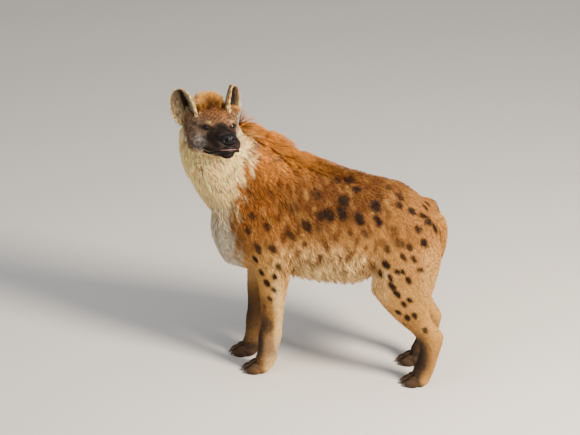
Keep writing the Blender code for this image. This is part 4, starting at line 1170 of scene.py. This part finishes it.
def ear_colours(points, normals, axes):
    """Colours of the ear, with painted shade in the hollow of its cup: dark all over on the left ear and in a narrow
    band on the right.
    """
    root, _, face, _ = axes
    t, s = ear_places(points, axes)
    inward = normals @ (HEAD_WAYS @ np.array(face)) > 0
    rim = np.clip((np.abs(s) - 0.82) / 0.12, 0, 1) + np.clip((t - 0.92) / 0.06, 0, 1)
    # painted shade in the hollow of the cup, spread wide on the left ear and narrow on the right
    fall = 0.9 if root[1] > 0 else 3.0
    cup_shade = np.clip(1.45 - np.abs(s - 0.04) * fall, 0, 1) * np.clip((t - 0.05) / 0.2, 0, 1)
    inner = tinted(lerp(np.array(BUFF), np.array(ASH), 0.4), SOOT, cup_shade)
    inner = tinted(inner, CREAM, np.clip(rim, 0, 1) * 0.8)
    outer = tinted(np.array(UMBER), FACE_BROWN, np.clip(1.0 - t, 0, 1))
    outer = tinted(outer, BUFF, np.clip((np.abs(s) - 0.5) / 0.3, 0, 1) * 0.8)
    return np.where(inward[:, None], inner, outer), inward


def unwrap_round(points, middle, along, out, scale):
    """Round a line through middle: turn about it, and place along it."""
    along, out = unit(np.array(along, float)), np.array(out, float)
    out = unit(out - along * out.dot(along))
    side = np.cross(along, out)
    local = points - np.array(middle)
    turn = np.arctan2(local @ side, local @ out) / (2 * math.pi) + 0.5
    return np.stack([0.02 + 0.96 * turn, 0.5 + (local @ along) * scale], axis=1)


def eye_piece(side):
    """An eyeball that knows how far each point lies from the line of sight."""
    name = "eye_left" if side > 0 else "eye_right"
    made = egg("eyeball_" + name[4:], sided(EYE_PLACE, side), (EYE_RADIUS,) * 3, 5)
    way = unit(np.array(sided(EYE_WAY, side), float))
    off = unit(points_of(made.data) - np.array(sided(EYE_PLACE, side)))
    ring = np.degrees(np.arccos(np.clip(off @ way, -1, 1))) / 60.0
    store = made.data.attributes.new("ring", "FLOAT", "POINT")
    store.data.foreach_set("value", ring.astype(np.float32))
    finish_on_head(made, EYE, "eye", name)


def lids_piece(side):
    """Dark lids round the almond of the eye, thick at the edge and running out under the coat."""
    way = Vector(sided(EYE_WAY, side)).normalized()
    tilt = Matrix.Rotation(math.radians(-side * EYE_SLANT), 4, "X")
    turn = way.to_track_quat("X", "Z").to_matrix().to_4x4() @ tilt
    points = []
    steps, loops = 40, 7
    for i in range(loops):
        t = i / (loops - 1)
        for j in range(steps):
            a = 2 * math.pi * j / steps
            wide = lerp(EYE_OPENING[0], LIDS_REACH[0], t)
            high = lerp(EYE_OPENING[1] * (0.80 if math.sin(a) > 0 else 0.62), LIDS_REACH[1], t)
            y, z = wide * math.cos(a), high * math.sin(a) * (1 - 0.25 * abs(math.cos(a)))
            radius = EYE_RADIUS + 0.0012 + 0.0014 * math.sin(math.pi * min(1.0, t * 1.6)) - 0.004 * t * t
            x = math.sqrt(max(radius ** 2 - min(y * y + z * z, radius ** 2 * 0.96), 0.0)) - 0.001 * t
            points.append(Vector(sided(EYE_PLACE, side)) + turn @ Vector((x, y, z)))
    made = mesh_object("lids_left" if side > 0 else "lids_right", points, faces_between(loops, steps))
    thick = made.modifiers.new("thick", "SOLIDIFY")
    thick.thickness = 0.0011
    thick.offset = 0.0
    finish_on_head(made, LIP, "nose_skin")


def nose_piece():
    """The leather of the nose, with its nostrils pressed in and a groove down the middle."""
    made = egg("nose_pad", NOSE_PLACE, NOSE_SIZE, 5)
    points = points_of(made.data)
    normals = normals_of(made.data)
    press = np.zeros(len(points))
    for side in (1, -1):
        off = points - np.array(sided(NOSTRIL_PLACE, side))
        off[:, 1] += side * off[:, 2] * 0.4
        hole = np.linalg.norm(off / np.array((0.012, 0.0062, 0.0068)), axis=1)
        press += 0.0085 * np.exp(-hole ** 2.6)
    groove = np.exp(-(points[:, 1] / 0.0016) ** 2) * (points[:, 0] > NOSE_PLACE[0])
    press += 0.0014 * groove
    put_points(made.data, points - normals * press[:, None])
    finish_on_head(made, NOSE, "nose_skin", "nose")


def mouth_points():
    return [sided(p, -1) for p in MOUTH_LINE[:0:-1]] + [sided(p, 1) for p in MOUTH_LINE]


def lip_piece(name, raised, size):
    rows = []
    for x, y, z in mouth_points():
        fade = 1.0 - 0.55 * abs(y) / MOUTH_LINE[-1][1]
        rows.append((x - 0.002, y, z + raised, LIP_RADIUS * fade * size, LIP_RADIUS * fade * size))
    finish_on_head(bent_tube(name, rows, 60, across=(0, 0, 1), sides=16), LIP, "nose_skin")


def tongue_piece():
    rows = []
    for x, y, z in mouth_points()[3:-3]:
        rows.append((x - MOUTH_DEPTH * 0.28, y * 0.80, z, 0.0022, MOUTH_DEPTH * 0.55))
    made = bent_tube("tongue_strip", rows, 30, across=(0, 0, 1), sides=16)
    finish_on_head(made, TONGUE, "tongue_flesh", "tongue")


def claw_pieces(paw):
    for number, (across, reach) in enumerate(zip(TOE_SPREAD, TOE_REACH), start=1):
        root = -reach - TOE_SIZE[0] * 0.50
        rows = (
            (root, across, 0.0178, CLAW_RADIUS, CLAW_RADIUS * 1.25),
            (root - CLAW_LENGTH * 0.50, across, 0.0165, CLAW_RADIUS * 0.85, CLAW_RADIUS * 1.1),
            (root - CLAW_LENGTH * 0.88, across, 0.0115, CLAW_RADIUS * 0.6, CLAW_RADIUS * 0.7),
            (root - CLAW_LENGTH * 1.12, across, 0.0065, CLAW_RADIUS * 0.22, CLAW_RADIUS * 0.25),
        )
        made = bent_tube(f"horn_{paw}_{number}", rows, 14, sides=14)
        made.data.transform(paw_place(paw))
        finish(to_row(made), CLAW, "claw_horn", f"claw_{paw}_{number}")


def coat_piece(name, hide, density, field):
    """Roots, combs, colours and grows one part of the coat."""
    count, slot, seed, gather, every, rings, broad, mottle = COATS[name]
    chance = np.random.default_rng(seed)
    roots, normals = hide.roots(count, density, chance)
    lengths, ways, lift, droop, colours, flat = field(roots, normals)
    widths = np.clip(lengths * broad, 0.0010, 0.0032)
    made = coat_object(name, roots, normals, ways, lengths, widths, lift, droop, colours, flat, rings, chance,
                       gather, every, mottle)
    finish(made, COAT, slot)


def seen_at(roots, ways, lengths):
    """Where a tuft is seen: its root is hidden by the tufts before it."""
    return roots + ways * (lengths * 0.5)[:, None]


def body_field(unwrap):
    def field(roots, normals):
        lengths = body_lengths(roots)
        ways = body_lie(roots)
        lift = np.interp(lengths, (0.009, 0.020), (0.16, 0.22))
        droop = np.clip((lengths - 0.020) * 8.0, 0, 0.35)
        return lengths, ways, lift, droop, body_colours(seen_at(roots, ways, lengths)), unwrap(roots)
    return field


def head_field(roots, normals):
    lengths = head_lengths(roots)
    ways = head_lie(roots)
    lift = np.full(len(roots), 0.20)
    colours = head_colours(seen_at(roots, ways, lengths))
    return lengths, ways, lift, np.zeros(len(roots)), colours, round_head(roots)


def paw_field(paw, unwrap):
    def field(roots, normals):
        groove = between_toes(paw, roots)
        lengths = PAW_COAT * (1 - 0.6 * groove) * np.interp(roots[:, 2], (0.03, PAW_TOP), (1.0, 1.9))
        none = np.zeros(len(roots))
        # the colour darkened in the clefts between the toes: painted shade
        colours = body_colours(roots) * (1 - 0.7 * groove[:, None])
        return lengths, body_lie(roots), none + 0.14, none, colours, unwrap(roots)
    return field


def mane_field(roots, normals):
    """Hair that rises from the nape and withers and lies back, longest over the shoulders."""
    lengths = np.interp(roots[:, 0], *MANE_LENGTHS)
    off = roots[:, 1] - np.interp(roots[:, 0], *MANE_LINE)
    ways = unit(np.stack([np.full(len(roots), 0.95), off * 5.0, np.full(len(roots), -0.30)], axis=1))
    lift = 0.62 - 8.0 * np.abs(off)
    colours = body_colours(seen_at(roots, ways, lengths))
    return lengths, ways, lift, np.zeros(len(roots)), colours, round_trunk(roots)


def ruff_field(roots, normals):
    """Long pale hair of the throat."""
    none = np.zeros(len(roots))
    ways = unit(np.stack([none + 0.10, roots[:, 1] * 2.5, none - 1.0], axis=1))
    lengths = none + RUFF_LENGTH
    return lengths, ways, none + 0.24, none + 0.1, body_colours(seen_at(roots, ways, lengths)), round_neck(roots)


def fringe_field(roots, normals):
    """Long hair that hangs from the lower flank and sweeps back a little."""
    none = np.zeros(len(roots))
    ways = unit(np.stack([none + 0.22, none, none - 1.0], axis=1))
    share = patch_share(roots, *FRINGE_BED)
    lengths = FRINGE_LENGTH * (0.55 + 0.45 * share)
    colours = body_colours(roots + ways * (lengths * 0.2)[:, None])
    return lengths, ways, none + 0.08, none + 0.1, colours, round_trunk(roots)


def crest_field(roots, normals):
    """The tuft that stands up between the ears."""
    none = np.zeros(len(roots))
    local = in_head(roots)
    stray = np.random.default_rng(77).normal(0, 0.28, (len(roots), 3))
    ways = unit(np.stack([none - 0.15, local[:, 1] * 5.0, none + 1.0], axis=1) + stray)
    lengths = CREST_LENGTH * (1.0 - 0.55 * (local[:, 1] / CREST_BED[1][1]) ** 2)
    ways = ways @ np.array(HEAD.to_3x3().normalized()).T
    front = np.clip((local[:, 0] - CREST_BED[0][0]) / CREST_BED[1][0], 0, 1)
    tone = tinted(np.array(CREST_GOLD), UMBER, np.clip(front * 1.3 - 0.2, 0, 1) * 0.9)
    return lengths * (1 - 0.55 * front), ways, none + 1.6, none, tone, round_head(roots)


EYE = eye_look()
NOSE = grained_look("nose_leather", (0.003, 0.003, 0.004), 0.44, (420.0, 5.0, 0.35, 0.0012), Specular_IOR_Level=0.18)
LIP = grained_look("lip_skin", (0.004, 0.003, 0.003), 0.50, (300.0, 4.0, 0.4, 0.001), Specular_IOR_Level=0.18)
TONGUE = grained_look("tongue_flesh", (0.30, 0.12, 0.10), 0.36, (500.0, 3.0, 0.3, 0.0008), Coat_Weight=0.2)
CLAW = claw_look()
COAT, SKIN = coat_look(), skin_look()

body = body_skin()
hide = Hide(body.data)
middles = hide.middles
leg_height = np.where(middles[:, 0] < 0, 0.44, 0.47)
on_tail = tail_share(middles) > 0
on_leg = (middles[:, 2] < leg_height) & ((middles[:, 0] < -0.150) | (middles[:, 0] > 0.125)) & ~on_tail
on_neck = ((middles - NECK_CUT) @ NECK_WAY > 0) & ~on_leg
in_face = in_head(middles)
under_head = (in_face[:, 0] > HEAD_SHARE + 0.03) & (np.abs(in_face[:, 1]) < 0.09) & (in_face[:, 2] > -0.07)
looks_left = middles[:, 1] < 0
thickness = (SHORT_COAT / body_lengths(middles)) ** 1.5


def round_trunk(points):
    return unwrap_round(points, (-0.04, 0.0, 0.58), (1, 0, 0), (0, 0, -1), 1.2)


def round_neck(points):
    return unwrap_round(points, (-0.40, 0.0, 0.78), (-0.15, 0.018, 0.24), (1, 0, 0), 2.2)


def round_head(points):
    return unwrap_round(in_head(points), (-0.03, 0.0, -0.03), (1, 0, 0), (0, 0, -1), 2.6)


for side, on_side in (("left", looks_left), ("right", ~looks_left)):
    for leg, at_end in (("foreleg", middles[:, 0] < 0), ("hindleg", middles[:, 0] > 0)):
        where = (on_leg & on_side & at_end & (middles[:, 2] > PAW_TOP - 0.004)).astype(float)
        pillar = np.average(middles, axis=0, weights=np.maximum(where, 1e-9) * hide.areas)

        def round_leg(points, pillar=pillar):
            return unwrap_round(points, pillar, (0, 0, 1), (0, 1 if pillar[1] < 0 else -1, 0), 1.7)

        coat_piece(f"coat_{leg}_{side}", hide, where * thickness, body_field(round_leg))
    where = (~on_leg & ~on_neck & ~on_tail & on_side).astype(float)
    coat_piece(f"coat_trunk_{side}", hide, where * thickness, body_field(round_trunk))

where = (on_neck & ~under_head).astype(float)
coat_piece("coat_neck", hide, where * thickness, body_field(round_neck))

facing = hide.normals[hide.corners[:, 0]]
from_line = np.abs(middles[:, 1] - np.interp(middles[:, 0], *MANE_LINE))
on_mane = (from_line < MANE_HALF) & (facing[:, 2] > 0.35) & ~under_head
on_mane &= (middles[:, 0] < MANE_LENGTHS[0][-1]) & (middles[:, 2] > 0.70)
coat_piece("coat_mane", hide, on_mane.astype(float), mane_field)
on_ruff = (patch_share(middles, *RUFF_BED, 0.2) > 0.5) & (facing[:, 0] < -0.2)
coat_piece("coat_ruff", hide, on_ruff.astype(float), ruff_field)
on_fringe = (patch_share(middles, *FRINGE_BED, 0.2) > 0.4) & (np.abs(facing[:, 1]) > 0.2) & ~on_leg
coat_piece("coat_fringe", hide, on_fringe.astype(float), fringe_field)


def tail_field(roots, normals):
    share = np.clip((0.56 - roots[:, 2]) / 0.16, 0, 1)
    lengths = lerp(0.018, 0.070, share)
    line = resample(TAIL_ROWS, 40)[:, :3]
    seat = np.argmin(np.linalg.norm(roots[:, None, :] - line[None, :, :], axis=2), axis=1)
    ways = unit(np.gradient(line, axis=0))[seat]
    flat = unwrap_round(roots, (0.33, 0.0, 0.48), (0, 0, 1), (-1, 0, 0), 2.6)
    return lengths, ways, np.full(len(roots), 0.26), share * 0.25, tail_colours(roots), flat


coat_piece("coat_tail", hide, on_tail.astype(float), tail_field)

skins_of_paws = {paw: paw_skin(paw) for paw in PAWS}
for paw, skin in skins_of_paws.items():
    hide_paw = Hide(skin.data)
    middle = hide_paw.middles.mean(axis=0)

    def round_paw(points, middle=middle):
        return unwrap_round(points, middle, (0, 0, 1), (1, 0, 0), 4.0)

    haired = (hide_paw.middles[:, 2] < PAW_TOP) & (hide_paw.middles[:, 2] > SOLE_HEIGHT + 0.002)
    coat_piece(f"coat_{paw}", hide_paw, haired.astype(float), paw_field(paw, round_paw))

face = head_skin()
hide_face = Hide(face.data)
ahead = in_head(hide_face.middles)
near_eye = np.linalg.norm(mirrored(ahead) - np.array(EYE_PLACE), axis=1) < EYE_BARE
under_nose = np.linalg.norm((ahead - np.array(NOSE_PLACE)) / np.array(NOSE_SIZE), axis=1) < 0.98
bare = near_eye | under_nose | (ahead[:, 0] < HEAD_SHARE)
density = ~bare * (0.011 / head_lengths(hide_face.middles)) ** 1.3
front = ahead[:, 0] > -0.045
coat_piece("coat_face", hide_face, density * front, head_field)
coat_piece("coat_crown", hide_face, density * ~front, head_field)
on_crest = (patch_share(ahead, *CREST_BED, 0.15) > 0.5) & (ahead[:, 2] > 0.05)
coat_piece("coat_crest", hide_face, on_crest.astype(float), crest_field)

for side in (1, -1):
    name = "left" if side > 0 else "right"
    ear, axes = ear_skin(f"ear_{name}")
    hide_ear = Hide(ear.data)

    def ear_field(roots, normals, axes=axes):
        colours, inward = ear_colours(roots, normals, axes)
        t, s = ear_places(roots, axes)
        up = HEAD_WAYS @ np.array(axes[1])
        lengths = np.where(inward, 0.009 + 0.014 * (1 - t), 0.007)
        lift = np.where(inward, 0.35, 0.15)
        flat = np.stack([np.where(inward, 0.26, 0.74) + s * 0.22, 0.1 + 0.8 * t], axis=1)
        return lengths, np.tile(up, (len(roots), 1)), lift, np.zeros(len(roots)), colours, flat

    rooted = ear_places(hide_ear.middles, axes)[0] < 0.97
    coat_piece(f"coat_ear_{name}", hide_ear, rooted.astype(float), ear_field)
    add_tone(ear.data, ear_colours(points_of(ear.data), normals_of(ear.data), axes)[0])
    finish(to_row(ear), SKIN, "coat_face", f"ear_{name}")
    eye_piece(side)
    lids_piece(side)

finish(to_row(body), SKIN, "coat_tawny", "torso", "neck", "tail", *LEGS)
for paw, skin in skins_of_paws.items():
    finish(to_row(skin), SKIN, "coat_dark", paw)
finish(to_row(face), SKIN, "coat_face", "head")
nose_piece()
lip_piece("lip_upper", LIP_RADIUS * 0.95, 1.0)
lip_piece("lip_lower", -LIP_RADIUS * 0.95, 1.1)
tongue_piece()
for paw in PAWS:
    claw_pieces(paw)


def way_to(azimuth, elevation):
    a, e = math.radians(azimuth), math.radians(elevation)
    return Vector((math.sin(a) * math.cos(e), -math.cos(a) * math.cos(e), math.sin(e)))


def aimed(name, data, place, away):
    """A lamp or camera set down at a place, looking back along the way there."""
    made = placed(name, data)
    made.location = place
    made.rotation_euler = (-away).to_track_quat("-Z", "Y").to_euler()
    return made


# Lights: azimuth, elevation, distance, size, power, colour
LIGHTS = {
    "key_light": (62.0, 36.0, 4.0, 1.1, 540.0, (1.0, 0.87, 0.70)),
    "fill_light": (-40.0, 35.0, 5.0, 4.0, 75.0, (0.93, 0.96, 1.0)),
    "top_light": (20.0, 80.0, 4.0, 3.0, 60.0, (1.0, 0.98, 0.95)),
}
LIT_PLACE = Vector((0.0, 0.0, 0.5))
FLOOR_CORNERS = ((-20, -20, 0), (20, -20, 0), (20, 20, 0), (-20, 20, 0))
FLOOR_COLOUR = (0.62, 0.60, 0.57)
WORLD_COLOUR = (0.84, 0.87, 0.93, 1.0)
WORLD_STRENGTH = 0.40

for name, (azimuth, elevation, distance, size, power, colour) in LIGHTS.items():
    lamp = bpy.data.lights.new(name, "AREA")
    lamp.shape = "DISK"
    lamp.size = size
    lamp.energy = power
    lamp.color = colour
    away = way_to(azimuth, elevation)
    aimed(name, lamp, LIT_PLACE + away * distance, away)

floor = mesh_object("floor", FLOOR_CORNERS, [(0, 1, 2, 3)])
floor.data.materials.append(Look("floor_pale", FLOOR_COLOUR, 0.85).material)

world = bpy.data.worlds.new("studio")
bpy.context.scene.world = world
world.use_nodes = True
backdrop = world.node_tree.nodes["Background"]
backdrop.inputs["Color"].default_value = WORLD_COLOUR
backdrop.inputs["Strength"].default_value = WORLD_STRENGTH

# The camera stands where the photograph was taken from
CAMERA_AZIMUTH = 11.0
CAMERA_ELEVATION = 24.5
CAMERA_DISTANCE = 9.0
PIXELS_PER_METRE = 287.0
PICTURE = (580, 435)
ORIGIN_PIXEL = (341.0, 369.0)
SENSOR = 36.0

back = way_to(CAMERA_AZIMUTH, CAMERA_ELEVATION)
right = way_to(CAMERA_AZIMUTH + 90.0, 0.0)
up = back.cross(right)
aim = SLIDE + right * ((PICTURE[0] / 2 - ORIGIN_PIXEL[0]) / PIXELS_PER_METRE)
aim += up * ((ORIGIN_PIXEL[1] - PICTURE[1] / 2) / PIXELS_PER_METRE)
camera = aimed("camera", bpy.data.cameras.new("camera"), aim + back * CAMERA_DISTANCE, back)
camera.data.sensor_width = SENSOR
camera.data.lens = PIXELS_PER_METRE * CAMERA_DISTANCE * SENSOR / PICTURE[0]
bpy.context.scene.camera = camera
